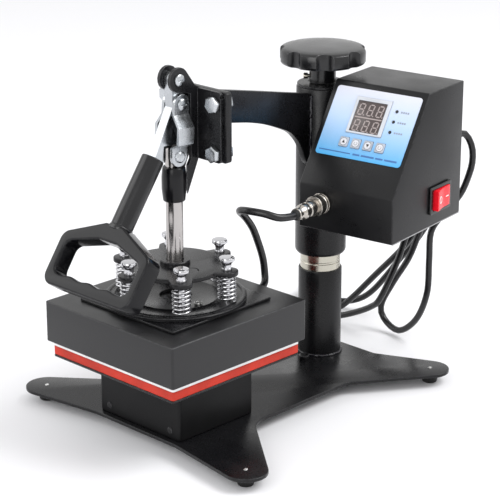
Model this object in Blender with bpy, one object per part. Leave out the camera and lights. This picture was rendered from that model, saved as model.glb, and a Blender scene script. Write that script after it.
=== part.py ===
"""Rotary heat press: a toggle lever closes a square heated platen on a fixed bed.

The head turns about a round column, away from the bed, and a star knob on the
column lifts it. Lengths are metres and +Z is up. The user stands on the -Y side.
Until the last step the origin is on the floor under the bed's centre. The last
step moves everything, so that the origin ends under the middle of the machine.
"""

import math

import bmesh
import bpy
from mathutils import Matrix, Vector

# Shared values
MILLI = 0.001
GAP = 0.0003
OVERRUN = 0.002
ROUND_STEPS = 24
FINE_STEPS = 30
SMALL_STEPS = 12
BEVEL_STEPS = 2
TINY_STEPS = 8
SHARP_ANGLE = math.radians(35)
HEAD_CROWN_SHARE = 0.35
HEAD_FLAT_SHARE = 0.72

# Base plate, feet and pedestal
FOOT_TALL = 0.0097
FOOT_RADIUS = 0.0079
FOOT_WAIST = 0.0070
FOOT_STUD_RADIUS = 0.0021
FOOT_NAMES = ("foot_front_left", "foot_front_right", "foot_rear_right", "foot_rear_left")
PLATE_THICK = 0.0032
FRONT_FOOT_X = 0.1255
FRONT_FOOT_AHEAD = 0.0427
REAR_FOOT_X = 0.0965
REAR_FOOT_BEHIND = 0.2300
FRONT_END_RADIUS = 0.0188
REAR_END_RADIUS = 0.0175
WEB_HALF = 0.0645
WEB_FRONT = 0.0500
WEB_REAR = 0.2215
FRONT_SHOULDER_X = 0.0500
FRONT_ARM_ROOT = 0.0305
REAR_ARM_ROOT = 0.1515
REAR_NOTCH_X = 0.0360
ARM_FILLET = 0.0120
FRONT_FILLET = 0.0300
SCREW_ROOM = 0.0003
PEDESTAL_HALF_X = 0.0503
PEDESTAL_FRONT = 0.0445
PEDESTAL_BACK = 0.0430
PEDESTAL_TALL = 0.0516
PEDESTAL_WALL = 0.0020
PEDESTAL_CORNER = 0.0030
LUG_THICK = 0.0025
LUG_TALL = 0.0120
LUG_LONG = 0.0840
RIVET_SHANK = 0.0018
RIVET_HEAD = 0.0032
RIVET_HEAD_TALL = 0.0010
RIVET_X = 0.0380
RIVET_UP = 0.0070

# Bed: lower plate and silicone pad
BED_HALF = 0.0750
BED_CORNER = 0.0025
LOWER_PLATE_THICK = 0.0018
BED_STUD_X = 0.0380
BED_STUD_Y = 0.0320
BED_STUD_RADIUS = 0.0020
BED_STUD_LONG = 0.0080
PAD_THICK = 0.0078

# Column
COLUMN_X = -0.0090
COLUMN_BEHIND = 0.1940
POST_RADIUS = 0.0187
POST_DROP = 0.0210
POST_BORE = 0.0065
POST_BORE_DEEP = 0.0600
SPIGOT_RADIUS = 0.0120
COLUMN_RADIUS = 0.0202
COLUMN_TALL = 0.0830
COLUMN_EDGE = 0.0008
BEND_LIFT = 0.0156
LINER_WALL = 0.0016
LINER_INSET = 0.0060

# Swing sleeve, its cap and the star knob
SWING_ANGLE = math.radians(8.8)
SLEEVE_RADIUS = 0.0236
SLEEVE_LONG = 0.1574
SLEEVE_CHAMFER = 0.0016
SLEEVE_CHAMFER_TALL = 0.0035
CAP_PLUG_TALL = 0.0100
CAP_LIP_TALL = 0.0023
CAP_LIP_INSET = 0.0006
SCREW_RADIUS = 0.0060
SCREW_COLLAR = 0.0095
SCREW_COLLAR_TALL = 0.0040
SCREW_IN_POST = 0.0450
KNOB_NECK_RADIUS = 0.0121
KNOB_NECK_TALL = 0.0178
KNOB_RADIUS = 0.0390
KNOB_LOBES = 8
KNOB_NOTCH_SHARE = 0.060
KNOB_TALL = 0.0143
KNOB_DOME = 0.0020
KNOB_EDGE = 0.0016
KNOB_STEPS_PER_LOBE = 5

# Swing arm: places ahead of the column axis and above the sleeve's lower end
ARM_HALF = 0.0030
ARM_TOP = ((0.0239, 0.1545), (0.0629, 0.1633), (0.0933, 0.1704), (0.1343, 0.1798),
           (0.1680, 0.1873))
ARM_UNDER = ((0.1680, 0.1587), (0.1427, 0.1532), (0.1166, 0.1476), (0.0927, 0.1407),
             (0.0713, 0.1326), (0.0556, 0.1255), (0.0461, 0.1183), (0.0396, 0.1113),
             (0.0347, 0.1036), (0.0300, 0.0940), (0.0239, 0.0875))

# Toggle linkage: the rod axis is the bed's centre line
CRANK = 0.0214
LINK = 0.0443
OVER_CENTRE = 0.0030
TOP_PIVOT_UP = 0.3103
PIVOT_RADIUS = 0.0035
RIVET_CROWN_RADIUS = 0.0052
RIVET_CROWN_TALL = 0.0022
LEVER_HALF = 0.0044
LEVER_SHEET = 0.0016
LUG_INNER = 0.0047
BRACKET_SHEET = 0.0028
LUG_RADIUS = 0.0104
LUG_CLEAR_BACK = 0.0130
BUSH_REST_BACK = 0.0098
BRACKET_TOE_FRONT = 0.0070
BRACKET_TOE_BACK = 0.0089
BRACKET_TOE_UP = 0.2114
BRACKET_HEEL_BACK = 0.0217
LUG_SLANT_SHARE = 0.25
NECK_SHARE = 0.6
FLANGE_FRONT = 0.0210
FLANGE_HALF = 0.0348
MOUNT_HALF = 0.0388
MOUNT_THICK = 0.0060
MOUNT_TALL = 0.0607
MOUNT_LOW = 0.2397
MOUNT_CORNER = 0.0030
BOLT_X = 0.0274
BOLT_MIDDLE_UP = 0.0286
BOLT_RISE = 0.0211
BOLT_RADIUS = 0.0040
BOLT_HEAD = 0.0075
BOLT_HEAD_TALL = 0.0053
NUT_TALL = 0.0065
PEEP_X = 0.0345
PEEP_DOWN = 0.0042
PEEP_RADIUS = 0.0014
LOBE_RADIUS = 0.0086
STRAP_SHEET = 0.0028
STRAP_STEP = 0.0072
STRAP_STEP_SHARES = (0.19, 0.42, 0.74, 0.82)
GUIDE_RADIUS = 0.0106
GUIDE_END_RADIUS = 0.0095
GUIDE_LOW = 0.2059
GUIDE_TALL = 0.0297
GUIDE_WAIST_SHARES = (0.35, 0.70)
ROD_RADIUS = 0.0074
ROD_ROOM = 0.0003
ROD_FLAT = 0.0044
ROD_FLAT_DROP = 0.0155
ROD_TOP_ROUND = 0.0074
ROD_EDGE = 0.0010

# Lever, handle tube and grip
HANDLE_TILT = math.radians(54.6)
TUBE_TOP_AHEAD = 0.0232
TUBE_TOP_UP = 0.2472
TUBE_RADIUS = 0.0097
TUBE_LONG = 0.0640
TUBE_BORE = 0.0066
TUBE_RECESS = 0.0030
SHANK_RADIUS = 0.0047
TUBE_STUD_LONG = 0.0130
SHANK_IN_GRIP = 0.0110
KINK_AHEAD = 0.0033
KINK_DROP = 0.0229
LEVER_CROWN = 0.0058
LEVER_TOE_OUT = 0.0022
LEVER_BACK = 0.0092
LEVER_HEEL_UP = 0.2562
LEVER_HEEL_BACK = 0.0010
LEVER_HEEL_AHEAD = 0.0150
HEEL_SHARE = 0.8
GRIP_DEEP = 0.0172
GRIP_EDGE = 0.0030
GRIP_SHOULDER_HALF = 0.0533
GRIP_SHOULDER_DROP = 0.0179
GRIP_BAR_HALF = 0.0528
GRIP_BAR_DROP = 0.0641
GRIP_BOSS_HALF = 0.0105
GRIP_WALL = 0.0085
GRIP_BAR_THICK = 0.0105
GRIP_CROWN_THICK = 0.0150
GRIP_CORNER = 0.0100
GRIP_SLANT_SHARE = 0.8
FINGER_BUMPS = 3
FINGER_PITCH = 0.0230
FINGER_BUMP = 0.0016

# Platen: heater, shell, plates, dish, springs, spider
HEATER_THICK = 0.0090
HEATER_SHOWS = 0.0040
HEATER_CORNER = 0.0020
ELEMENT_TALL = 0.0040
ELEMENT_HALF = 0.0500
ELEMENT_WIDE = 0.0080
SHELL_OVERHANG = 0.0040
SHELL_TALL = 0.0365
SHELL_WALL = 0.0015
SHELL_CORNER = 0.0022
WOOL_INSET = 0.0015
SQUARE_HALF = 0.0580
SQUARE_THICK = 0.0024
SQUARE_CORNER = 0.0020
DISH_RADIUS = 0.0610
DISH_BORE = 0.0140
DISH_THICK = 0.0024
DISH_RIM = 0.0035
DISH_RIDGE = 0.0010
DISH_RIDGES = 3
SPRING_LONG = 0.0236
SPRING_RADIUS = 0.0072
SPRING_WIRE = 0.0020
SPRING_TURNS = 6
SPRING_POINTS = 8
POST_COUNT = 6
POST_AT = 0.0475
POST_PHASE = math.radians(22.6)
SPIDER_THICK = 0.0040
SPIDER_RADIUS = 0.0425
SPIDER_LOBE = 0.0098
SPIDER_BOSS = 0.0130
SPIDER_BOSS_TALL = 0.0040
SPIDER_STEPS = 48
SPOOL_STEM = 0.0030
SPOOL_BASE = 0.0064
SPOOL_BASE_TALL = 0.0025
SPOOL_WAIST = 0.0046
SPOOL_WAIST_TALL = 0.0055
SPOOL_CAP = 0.0068
SPOOL_CAP_TALL = 0.0038
SPOOL_DOME = 0.0014
SPOOL_FILLET_SHARE = 0.2
ROD_COLLAR_RADIUS = 0.0115
ROD_COLLAR_TALL = 0.0070

# Control box, in the swing frame: lateral from the column axis, ahead of it, up
BOX_LEFT = 0.0270
BOX_WIDE = 0.0956
BOX_FRONT = 0.0762
BOX_TOP_FRONT = 0.0189
BOX_BACK = 0.0405
BOX_LOW = 0.1611
BOX_BEND_RISE = 0.0399
BOX_TALL = 0.1216
BOX_SHEET = 0.0015
BOX_TRAY_SHEET = 0.0012
PAD_PLATE_DEEP = 0.0360
PAD_PLATE_TALL = 0.0600
PAD_PLATE_UP = 0.0250
PAD_SCREW_RISE = 0.0200
PAD_SCREW_RADIUS = 0.0025
BOARD_THICK = 0.0016
BOARD_UNDER = 0.0060
BOARD_INSET = 0.0060
BOARD_LONG = 0.0680
BOARD_POST = 0.0025
RELAY_WIDE = 0.0440
RELAY_DEEP = 0.0300
RELAY_TALL = 0.0220
RELAY_LEFT = 0.0060
RELAY_BACK = 0.0080

# Front panel: places right of and below the sloping face's top left corner
LABEL_LEFT = 0.0050
LABEL_RIGHT = 0.0914
LABEL_TOP = 0.0054
LABEL_BOTTOM = 0.0705
LABEL_CORNER = 0.0030
LABEL_THICK = 0.0004
FRAME_LEFT = 0.0283
FRAME_RIGHT = 0.0638
FRAME_TOP = 0.0130
FRAME_BOTTOM = 0.0470
FRAME_PROUD = 0.0010
WINDOW_LEFT = 0.0310
WINDOW_RIGHT = 0.0604
WINDOW_TOP = 0.0164
WINDOW_BOTTOM = 0.0455
WINDOW_DEEP = 0.0060
WINDOW_SINK = 0.0004
LAMP_X = 0.0708
LAMP_FIRST = 0.0212
LAMP_PITCH = 0.0097
LAMP_COUNT = 3
LAMP_RADIUS = 0.0015
LAMP_PROUD = 0.0008
KEY_FIRST = 0.0301
KEY_PITCH = 0.0122
KEY_DOWN = 0.0562
KEY_HALF = 0.0044
KEY_CORNER = 0.0012
KEY_PROUD = 0.0010
KEY_DEEP = 0.0040
KEY_NAMES = ("up_key", "set_key", "down_key", "start_key")
KEY_TRAVEL = 0.0006
KEY_SEAT_SHARE = 0.5
SWITCH_BEHIND = 0.0023
SWITCH_UP = 0.0236
SWITCH_HALF_DEEP = 0.0178
SWITCH_HALF_TALL = 0.0125
SWITCH_BEZEL_PROUD = 0.0020
SWITCH_BODY_HALF_DEEP = 0.0150
SWITCH_BODY_HALF_TALL = 0.0110
SWITCH_BODY_DEEP = 0.0160
SWITCH_WALL = 0.0012
ROCKER_HALF_DEEP = 0.0132
ROCKER_HALF_TALL = 0.0092
ROCKER_PROUD = 0.0030
ROCKER_SINK = 0.0045
ROCKER_ANGLE = math.radians(8)
ROCKER_DIP_SHARE = 0.35
ROCKER_FOOT_SHARE = 0.9

# Heater lead: socket, plug and cable
SOCKET_X = 0.0512
SOCKET_UP = 0.0252
SOCKET_HOLE = 0.0062
SOCKET_FLANGE = 0.0095
SOCKET_FLANGE_TALL = 0.0030
SOCKET_NOSE = 0.0070
SOCKET_NOSE_LONG = 0.0060
SOCKET_TAIL_LONG = 0.0100
SOCKET_BORE = 0.0048
RING_RADIUS = 0.0090
RING_LONG = 0.0100
PLUG_BODY_RADIUS = 0.0068
PLUG_BODY_LONG = 0.0230
PLUG_TAIL_RADIUS = 0.0050
PLUG_TAIL_LONG = 0.0080
CABLE_RADIUS = 0.0033
CABLE_STEP = 0.0140
GLAND_X = 0.0100
GLAND_UP = 0.1044
GLAND_RADIUS = 0.0062
GLAND_LONG = 0.0090
GLAND_NUT = 0.0080
GLAND_NUT_LONG = 0.0030

# Mains lead
CORD_RADIUS = 0.0031
CORD_STEP = 0.0175
RELIEF_LATERAL = 0.1080
RELIEF_UP = 0.0660
RELIEF_RADIUS = 0.0060
RELIEF_TIP_RADIUS = 0.0046
RELIEF_LONG = 0.0130
RELIEF_FLANGE = 0.0078
RELIEF_FLANGE_TALL = 0.0020
MAINS_PLUG_LONG = 0.0300
MAINS_PLUG_HALF_WIDE = 0.0115
MAINS_PLUG_HALF_TALL = 0.0080
MAINS_PLUG_NECK = 0.0055
MAINS_PLUG_NECK_LONG = 0.0100
MAINS_PLUG_EDGE = 0.0016
BLADE_LONG = 0.0170
BLADE_ROOT = 0.0050
BLADE_THICK = 0.0015
BLADE_TALL = 0.0063
BLADE_HALF_PITCH = 0.0064

# Levels, one on top of the other
PLATE_LOW = FOOT_TALL + GAP
PLATE_TOP = PLATE_LOW + PLATE_THICK
PEDESTAL_LOW = PLATE_TOP + GAP
PEDESTAL_TOP = PEDESTAL_LOW + PEDESTAL_TALL
LOWER_PLATE_LOW = PEDESTAL_TOP + GAP
LOWER_PLATE_TOP = LOWER_PLATE_LOW + LOWER_PLATE_THICK
PAD_LOW = LOWER_PLATE_TOP + GAP
PAD_TOP = PAD_LOW + PAD_THICK
HEATER_LOW = PAD_TOP + GAP
HEATER_TOP = HEATER_LOW + HEATER_THICK
SHELL_LOW = HEATER_LOW + HEATER_SHOWS
SHELL_TOP = SHELL_LOW + SHELL_TALL
SQUARE_LOW = SHELL_TOP + GAP
SQUARE_TOP = SQUARE_LOW + SQUARE_THICK
DISH_LOW = SQUARE_TOP + GAP
DISH_TOP = DISH_LOW + DISH_THICK
SPRING_LOW = DISH_TOP + GAP
SPIDER_LOW = SPRING_LOW + SPRING_LONG + GAP
SPIDER_TOP = SPIDER_LOW + SPIDER_THICK
COLUMN_LOW = PLATE_TOP + GAP
COLUMN_TOP = COLUMN_LOW + COLUMN_TALL
SLEEVE_LOW = COLUMN_TOP + BEND_LIFT
SLEEVE_TOP = SLEEVE_LOW + SLEEVE_LONG
POST_TOP = SLEEVE_TOP - POST_DROP
CAP_PLUG_LOW = SLEEVE_TOP - CAP_PLUG_TALL
CAP_LIP_LOW = SLEEVE_TOP + GAP
CAP_TOP = CAP_LIP_LOW + CAP_LIP_TALL
KNOB_NECK_LOW = CAP_TOP + GAP
KNOB_LOW = KNOB_NECK_LOW + KNOB_NECK_TALL
LINER_INNER = POST_RADIUS + GAP
LINER_OUTER = LINER_INNER + LINER_WALL
SLEEVE_BORE = LINER_OUTER + GAP
TOGGLE_SPAN = math.sqrt(CRANK ** 2 - OVER_CENTRE ** 2) + math.sqrt(LINK ** 2 - OVER_CENTRE ** 2)
LINK_PIVOT_UP = TOP_PIVOT_UP - math.sqrt(CRANK ** 2 - OVER_CENTRE ** 2)
ROD_PIVOT_UP = TOP_PIVOT_UP - TOGGLE_SPAN
KINK_UP = TOP_PIVOT_UP - KINK_DROP
GRIP_BOSS_DOWN = TUBE_LONG + GAP
GRIP_SHOULDER_DOWN = GRIP_BOSS_DOWN + GRIP_SHOULDER_DROP
GRIP_BAR_DOWN = GRIP_BOSS_DOWN + GRIP_BAR_DROP
SHELL_HALF = BED_HALF + SHELL_OVERHANG
MOUNT_FRONT = FLANGE_FRONT + BRACKET_SHEET + GAP
MOUNT_BACK = MOUNT_FRONT + MOUNT_THICK
MOUNT_MIDDLE = MOUNT_LOW + MOUNT_TALL / 2
BOLT_MIDDLE = MOUNT_LOW + BOLT_MIDDLE_UP
LUG_OUTER = LUG_INNER + BRACKET_SHEET
STRAP_INNER = LEVER_HALF + GAP
TUBE_STUD_RADIUS = LEVER_HALF - LEVER_SHEET - GAP
TUBE_STUD_BACK = TUBE_STUD_RADIUS + GAP + LEVER_SHEET - LEVER_TOE_OUT
STRAP_OUTER = STRAP_INNER + STRAP_SHEET
BOX_TOP = BOX_LOW + BOX_TALL
BOX_RIGHT = BOX_LEFT + BOX_WIDE
BOX_BEND = BOX_LOW + BOX_BEND_RISE
PANEL_SLOPE = math.atan2(BOX_TOP - BOX_BEND, BOX_FRONT - BOX_TOP_FRONT)
LABEL_LOW = GAP
LABEL_HIGH = LABEL_LOW + LABEL_THICK

# Heater cable: free points from the plug to the gland on the platen's back
CABLE_ROUTE = (
    (0.0583, 0.0660, 0.1880), (0.0500, 0.0580, 0.1914), (0.0381, 0.0530, 0.1922),
    (0.0254, 0.0545, 0.1900), (0.0163, 0.0620, 0.1847), (0.0120, 0.0725, 0.1769),
    (0.0080, 0.0860, 0.1627), (0.0042, 0.0975, 0.1446), (0.0024, 0.1050, 0.1284),
    (0.0032, 0.1065, 0.1154), (0.0062, 0.1035, 0.1070),
)

# Mains cord: free points from the strain relief to the plug on the floor
CORD_ROUTE = (
    (0.0895, 0.2790, 0.2254), (0.0935, 0.2840, 0.2134), (0.0940, 0.2850, 0.1994),
    (0.0905, 0.2850, 0.1854), (0.0815, 0.2850, 0.1651), (0.0630, 0.2850, 0.1424),
    (0.0490, 0.2850, 0.1214), (0.0477, 0.2850, 0.0932), (0.0456, 0.2860, 0.0587),
    (0.0290, 0.2915, 0.0260), (0.0050, 0.2955, 0.0066), (-0.0150, 0.2975, 0.0116),
    (-0.0205, 0.2975, 0.0260), (-0.0050, 0.2960, 0.0539), (0.0150, 0.2940, 0.0839),
    (0.0250, 0.2960, 0.1104), (0.0320, 0.3000, 0.1354), (0.0270, 0.3090, 0.1504),
    (0.0140, 0.3125, 0.1304), (0.0040, 0.3085, 0.0974), (-0.0377, 0.3080, 0.0508),
    (-0.0797, 0.3050, 0.0070), (-0.0985, 0.2985, 0.0040), (-0.1070, 0.2870, 0.0038),
    (-0.1000, 0.2770, 0.0038), (-0.0800, 0.2740, 0.0045), (-0.0600, 0.2770, 0.0096),
    (-0.0387, 0.2790, 0.0184), (-0.0140, 0.2760, 0.0324), (-0.0010, 0.2730, 0.0454),
    (0.0213, 0.2690, 0.0874), (0.0400, 0.2650, 0.1314), (0.0560, 0.2700, 0.1674),
    (0.0600, 0.2880, 0.1864), (0.0520, 0.3120, 0.1794), (0.0320, 0.3240, 0.1454),
    (0.0049, 0.3250, 0.0999), (-0.0188, 0.3250, 0.0700), (-0.0540, 0.3245, 0.0262),
    (-0.0770, 0.3205, 0.0100), (-0.0960, 0.3080, 0.0088),
)
CORD_END = (-0.1180, 0.3060, 0.0086)
CORD_END_HEADING = (-0.707, 0.707, 0.0)


def clear_scene():
    """Remove whatever objects the file holds."""
    for obj in list(bpy.data.objects):
        bpy.data.objects.remove(obj, do_unlink=True)


def make_material(name, colour, roughness, metallic):
    """A plain Principled material."""
    mat = bpy.data.materials.new(name)
    mat.use_nodes = True
    shader = mat.node_tree.nodes["Principled BSDF"]
    shader.inputs["Base Color"].default_value = (*colour, 1.0)
    shader.inputs["Roughness"].default_value = roughness
    shader.inputs["Metallic"].default_value = metallic
    mat.diffuse_color = (*colour, 1.0)
    return mat


def make_palette():
    """Every finish on the machine, by name."""
    return {
        "black_paint": make_material("black_paint", (0.018, 0.018, 0.020), 0.42, 0.0),
        "box_paint": make_material("box_paint", (0.022, 0.022, 0.025), 0.48, 0.0),
        "zinc": make_material("zinc", (0.62, 0.63, 0.62), 0.30, 1.0),
        "yellow_zinc": make_material("yellow_zinc", (0.52, 0.49, 0.36), 0.26, 1.0),
        "chrome": make_material("chrome", (0.75, 0.75, 0.76), 0.10, 1.0),
        "bronze": make_material("bronze", (0.55, 0.40, 0.20), 0.35, 1.0),
        "aluminium": make_material("aluminium", (0.78, 0.78, 0.78), 0.38, 1.0),
        "red_silicone": make_material("red_silicone", (0.62, 0.060, 0.035), 0.60, 0.0),
        "rubber": make_material("rubber", (0.015, 0.015, 0.015), 0.75, 0.0),
        "black_plastic": make_material("black_plastic", (0.020, 0.020, 0.021), 0.38, 0.0),
        "cable_jacket": make_material("cable_jacket", (0.014, 0.014, 0.014), 0.50, 0.0),
        "wool": make_material("wool", (0.78, 0.76, 0.70), 0.95, 0.0),
        "label_film": make_material("label_film", (0.42, 0.62, 0.86), 0.35, 0.0),
        "display": make_material("display", (0.10, 0.06, 0.06), 0.12, 0.0),
        "key_grey": make_material("key_grey", (0.52, 0.54, 0.58), 0.40, 0.0),
        "rocker_red": make_material("rocker_red", (0.75, 0.030, 0.025), 0.28, 0.0),
        "circuit": make_material("circuit", (0.05, 0.22, 0.10), 0.50, 0.0),
    }


def rounded(corners, steps=3):
    """An outline with each corner (x, y, radius) turned into an arc."""
    points = []
    count = len(corners)
    for index, (x, y, radius) in enumerate(corners):
        here = Vector((x, y))
        if radius <= 0:
            points.append(here)
            continue
        before = Vector(corners[index - 1][:2])
        after = Vector(corners[(index + 1) % count][:2])
        back = (before - here).normalized()
        ahead = (after - here).normalized()
        half = back.angle(ahead) / 2
        centre = here + (back + ahead).normalized() * (radius / math.sin(half))
        start = here + back * (radius / math.tan(half)) - centre
        sweep = start.angle_signed(here + ahead * (radius / math.tan(half)) - centre)
        for step in range(steps + 1):
            turn = Matrix.Rotation(-sweep * step / steps, 2)
            points.append(centre + turn @ start)
    return [(point.x, point.y) for point in points]


def rounded_box(half_x, half_y, radius, steps=3, middle=(0, 0)):
    """A rectangle with round corners about a middle point."""
    x, y = middle
    return rounded([
        (x - half_x, y - half_y, radius), (x + half_x, y - half_y, radius),
        (x + half_x, y + half_y, radius), (x - half_x, y + half_y, radius),
    ], steps)


def arc_points(centre, radius, start, end, steps):
    """Points on an arc, both ends included."""
    cx, cy = centre
    return [
        (cx + radius * math.cos(start + (end - start) * step / steps),
         cy + radius * math.sin(start + (end - start) * step / steps))
        for step in range(steps + 1)
    ]


def wrap_round(before, centre, radius, after, steps=10):
    """The arc that a taut outline makes round a circle, seen anticlockwise."""
    arrive = Vector(centre) - Vector(before)
    leave = Vector(after) - Vector(centre)
    start = math.atan2(arrive.y, arrive.x) - math.asin(radius / arrive.length) - math.pi / 2
    end = math.atan2(leave.y, leave.x) + math.asin(radius / leave.length) - math.pi / 2
    while end < start:
        end += 2 * math.pi
    return arc_points(centre, radius, start, end, steps)


def aim(direction, at):
    """A matrix that carries local +Z to a direction at a place."""
    turn = Vector(direction).to_track_quat("Z", "Y").to_matrix().to_4x4()
    return Matrix.Translation(Vector(at)) @ turn


class Shape:
    """One mesh in the making: a body, or several that stay apart."""

    def __init__(self):
        self.bm = bmesh.new()

    def add(self, points, faces, matrix=None):
        """Add one closed body from points and index faces."""
        matrix = matrix or Matrix.Identity(4)
        verts = [self.bm.verts.new(matrix @ Vector(point)) for point in points]
        new_faces = [self.bm.faces.new([verts[i] for i in face]) for face in faces]
        bmesh.ops.recalc_face_normals(self.bm, faces=new_faces)
        return self

    def prism(self, outline, low, high, plane="xy", matrix=None):
        """Carry an outline from low to high, square to its plane."""
        place = {
            "xy": lambda a, b, c: (a, b, c),
            "xz": lambda a, b, c: (a, c, b),
            "yz": lambda a, b, c: (c, a, b),
        }[plane]
        count = len(outline)
        points = [place(a, b, low) for a, b in outline]
        points += [place(a, b, high) for a, b in outline]
        faces = [list(range(count)), list(range(count, 2 * count))]
        for i in range(count):
            j = (i + 1) % count
            faces.append([i, j, count + j, count + i])
        return self.add(points, faces, matrix)

    def block(self, low, high, matrix=None):
        """A box between two corners."""
        outline = [(low[0], low[1]), (high[0], low[1]), (high[0], high[1]), (low[0], high[1])]
        return self.prism(outline, low[2], high[2], "xy", matrix)

    def turned(self, profile, steps=ROUND_STEPS, matrix=None):
        """Spin a profile of (radius, height) about Z; a profile off the axis closes."""
        points = []
        rings = []
        for radius, height in profile:
            if radius == 0:
                rings.append([len(points)])
                points.append((0, 0, height))
                continue
            ring = []
            for step in range(steps):
                angle = 2 * math.pi * step / steps
                ring.append(len(points))
                points.append((radius * math.cos(angle), radius * math.sin(angle), height))
            rings.append(ring)
        faces = []
        count = len(rings)
        closed = profile[0][0] != 0
        for index in range(count if closed else count - 1):
            here = rings[index]
            there = rings[(index + 1) % count]
            if len(here) == 1 and len(there) == 1:
                continue
            for step in range(steps):
                after = (step + 1) % steps
                if len(here) == 1:
                    faces.append([here[0], there[after], there[step]])
                elif len(there) == 1:
                    faces.append([here[step], here[after], there[0]])
                else:
                    faces.append([here[step], here[after], there[after], there[step]])
        return self.add(points, faces, matrix)

    def pillar(self, radius, low, high, steps=ROUND_STEPS, matrix=None):
        """A plain cylinder on Z."""
        profile = [(0, low), (radius, low), (radius, high), (0, high)]
        return self.turned(profile, steps, matrix)

    def pipe(self, outer, inner, low, high, steps=ROUND_STEPS, matrix=None):
        """A plain tube on Z."""
        profile = [(outer, low), (outer, high), (inner, high), (inner, low)]
        return self.turned(profile, steps, matrix)

    def hexagon(self, radius, low, high, matrix=None):
        """A hexagonal prism on Z."""
        outline = [
            (radius * math.cos(math.pi / 3 * side), radius * math.sin(math.pi / 3 * side))
            for side in range(6)
        ]
        return self.prism(outline, low, high, "xy", matrix)

    def mesh(self, name):
        """Hand the finished mesh over."""
        data = bpy.data.meshes.new(name)
        self.bm.to_mesh(data)
        self.bm.free()
        return data


class Model:
    """Puts named objects into the scene, under their frames."""

    def __init__(self):
        self.palette = make_palette()
        self.root = self.frame("machine", None)

    def frame(self, name, parent, location=(0, 0, 0), rotation=(0, 0, 0)):
        """An empty that carries other objects."""
        empty = bpy.data.objects.new(name, None)
        bpy.context.scene.collection.objects.link(empty)
        empty.parent = parent
        empty.location = location
        empty.rotation_euler = rotation
        return empty

    def node(self, name, shape, finish, parent=None, smooth=True):
        """One named piece of the machine."""
        data = shape.mesh(name)
        data.materials.append(self.palette[finish])
        if smooth:
            data.shade_smooth()
            data.set_sharp_from_angle(angle=SHARP_ANGLE)
        obj = bpy.data.objects.new(name, data)
        bpy.context.scene.collection.objects.link(obj)
        obj.parent = parent or self.root
        return obj

    def tube(self, name, path, radius, sides, finish, parent=None):
        """A round tube along an open path."""
        data = bpy.data.curves.new(name, "CURVE")
        data.dimensions = "3D"
        data.bevel_depth = radius
        data.bevel_resolution = sides
        data.use_fill_caps = True
        spline = data.splines.new("POLY")
        spline.points.add(len(path) - 1)
        for point, place in zip(spline.points, path):
            point.co = (*place, 1.0)
        data.materials.append(self.palette[finish])
        obj = bpy.data.objects.new(name, data)
        bpy.context.scene.collection.objects.link(obj)
        obj.parent = parent or self.root
        return obj

    def cut(self, target, shape):
        """Take a hidden cutter's bodies out of a piece."""
        name = "cutter_" + target.name
        cutter = bpy.data.objects.new(name, shape.mesh(name))
        bpy.context.scene.collection.objects.link(cutter)
        cutter.parent = target.parent
        cutter.hide_render = True
        cutter.display_type = "WIRE"
        modifier = target.modifiers.new("cut", "BOOLEAN")
        modifier.operation = "DIFFERENCE"
        modifier.solver = "EXACT"
        modifier.object = cutter
        return target

    def trim(self, target, shape):
        """Keep only what a hidden shape holds."""
        self.cut(target, shape)
        target.modifiers[-1].operation = "INTERSECT"
        return target

    def soften(self, target, width, steps=BEVEL_STEPS):
        """Round a piece's sharp edges."""
        modifier = target.modifiers.new("soften", "BEVEL")
        modifier.width = width
        modifier.segments = steps
        modifier.limit_method = "ANGLE"
        modifier.angle_limit = SHARP_ANGLE
        return target


def pan_screw(shape, radius, long, head, head_tall, matrix, steps=SMALL_STEPS):
    """A screw whose head sits on local z = 0 and whose shank runs down."""
    crown = head_tall * HEAD_CROWN_SHARE
    profile = [(0, -long), (radius, -long), (radius, 0), (head, 0), (head, head_tall - crown),
               (head * HEAD_FLAT_SHARE, head_tall), (0, head_tall)]
    return shape.turned(profile, steps, matrix)


def foot_places():
    """The four foot centres."""
    return [
        (-FRONT_FOOT_X, -FRONT_FOOT_AHEAD), (FRONT_FOOT_X, -FRONT_FOOT_AHEAD),
        (REAR_FOOT_X, REAR_FOOT_BEHIND), (-REAR_FOOT_X, REAR_FOOT_BEHIND),
    ]


def base_outline():
    """The plate's outline: a web with four splayed arms, each round a foot."""
    shoulder = (FRONT_SHOULDER_X, -WEB_FRONT)
    front_root = (WEB_HALF, FRONT_ARM_ROOT)
    rear_root = (WEB_HALF, REAR_ARM_ROOT)
    notch = (REAR_NOTCH_X, WEB_REAR)
    front = wrap_round(shoulder, (FRONT_FOOT_X, -FRONT_FOOT_AHEAD), FRONT_END_RADIUS, front_root)
    rear = wrap_round(rear_root, (REAR_FOOT_X, REAR_FOOT_BEHIND), REAR_END_RADIUS, notch)
    half = [(*shoulder, ARM_FILLET)]
    half += [(x, y, 0) for x, y in front]
    half += [(*front_root, FRONT_FILLET), (*rear_root, ARM_FILLET)]
    half += [(x, y, 0) for x, y in rear]
    half += [(*notch, ARM_FILLET)]
    mirrored = [(-x, y, radius) for x, y, radius in reversed(half)]
    return rounded(half + mirrored)


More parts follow.
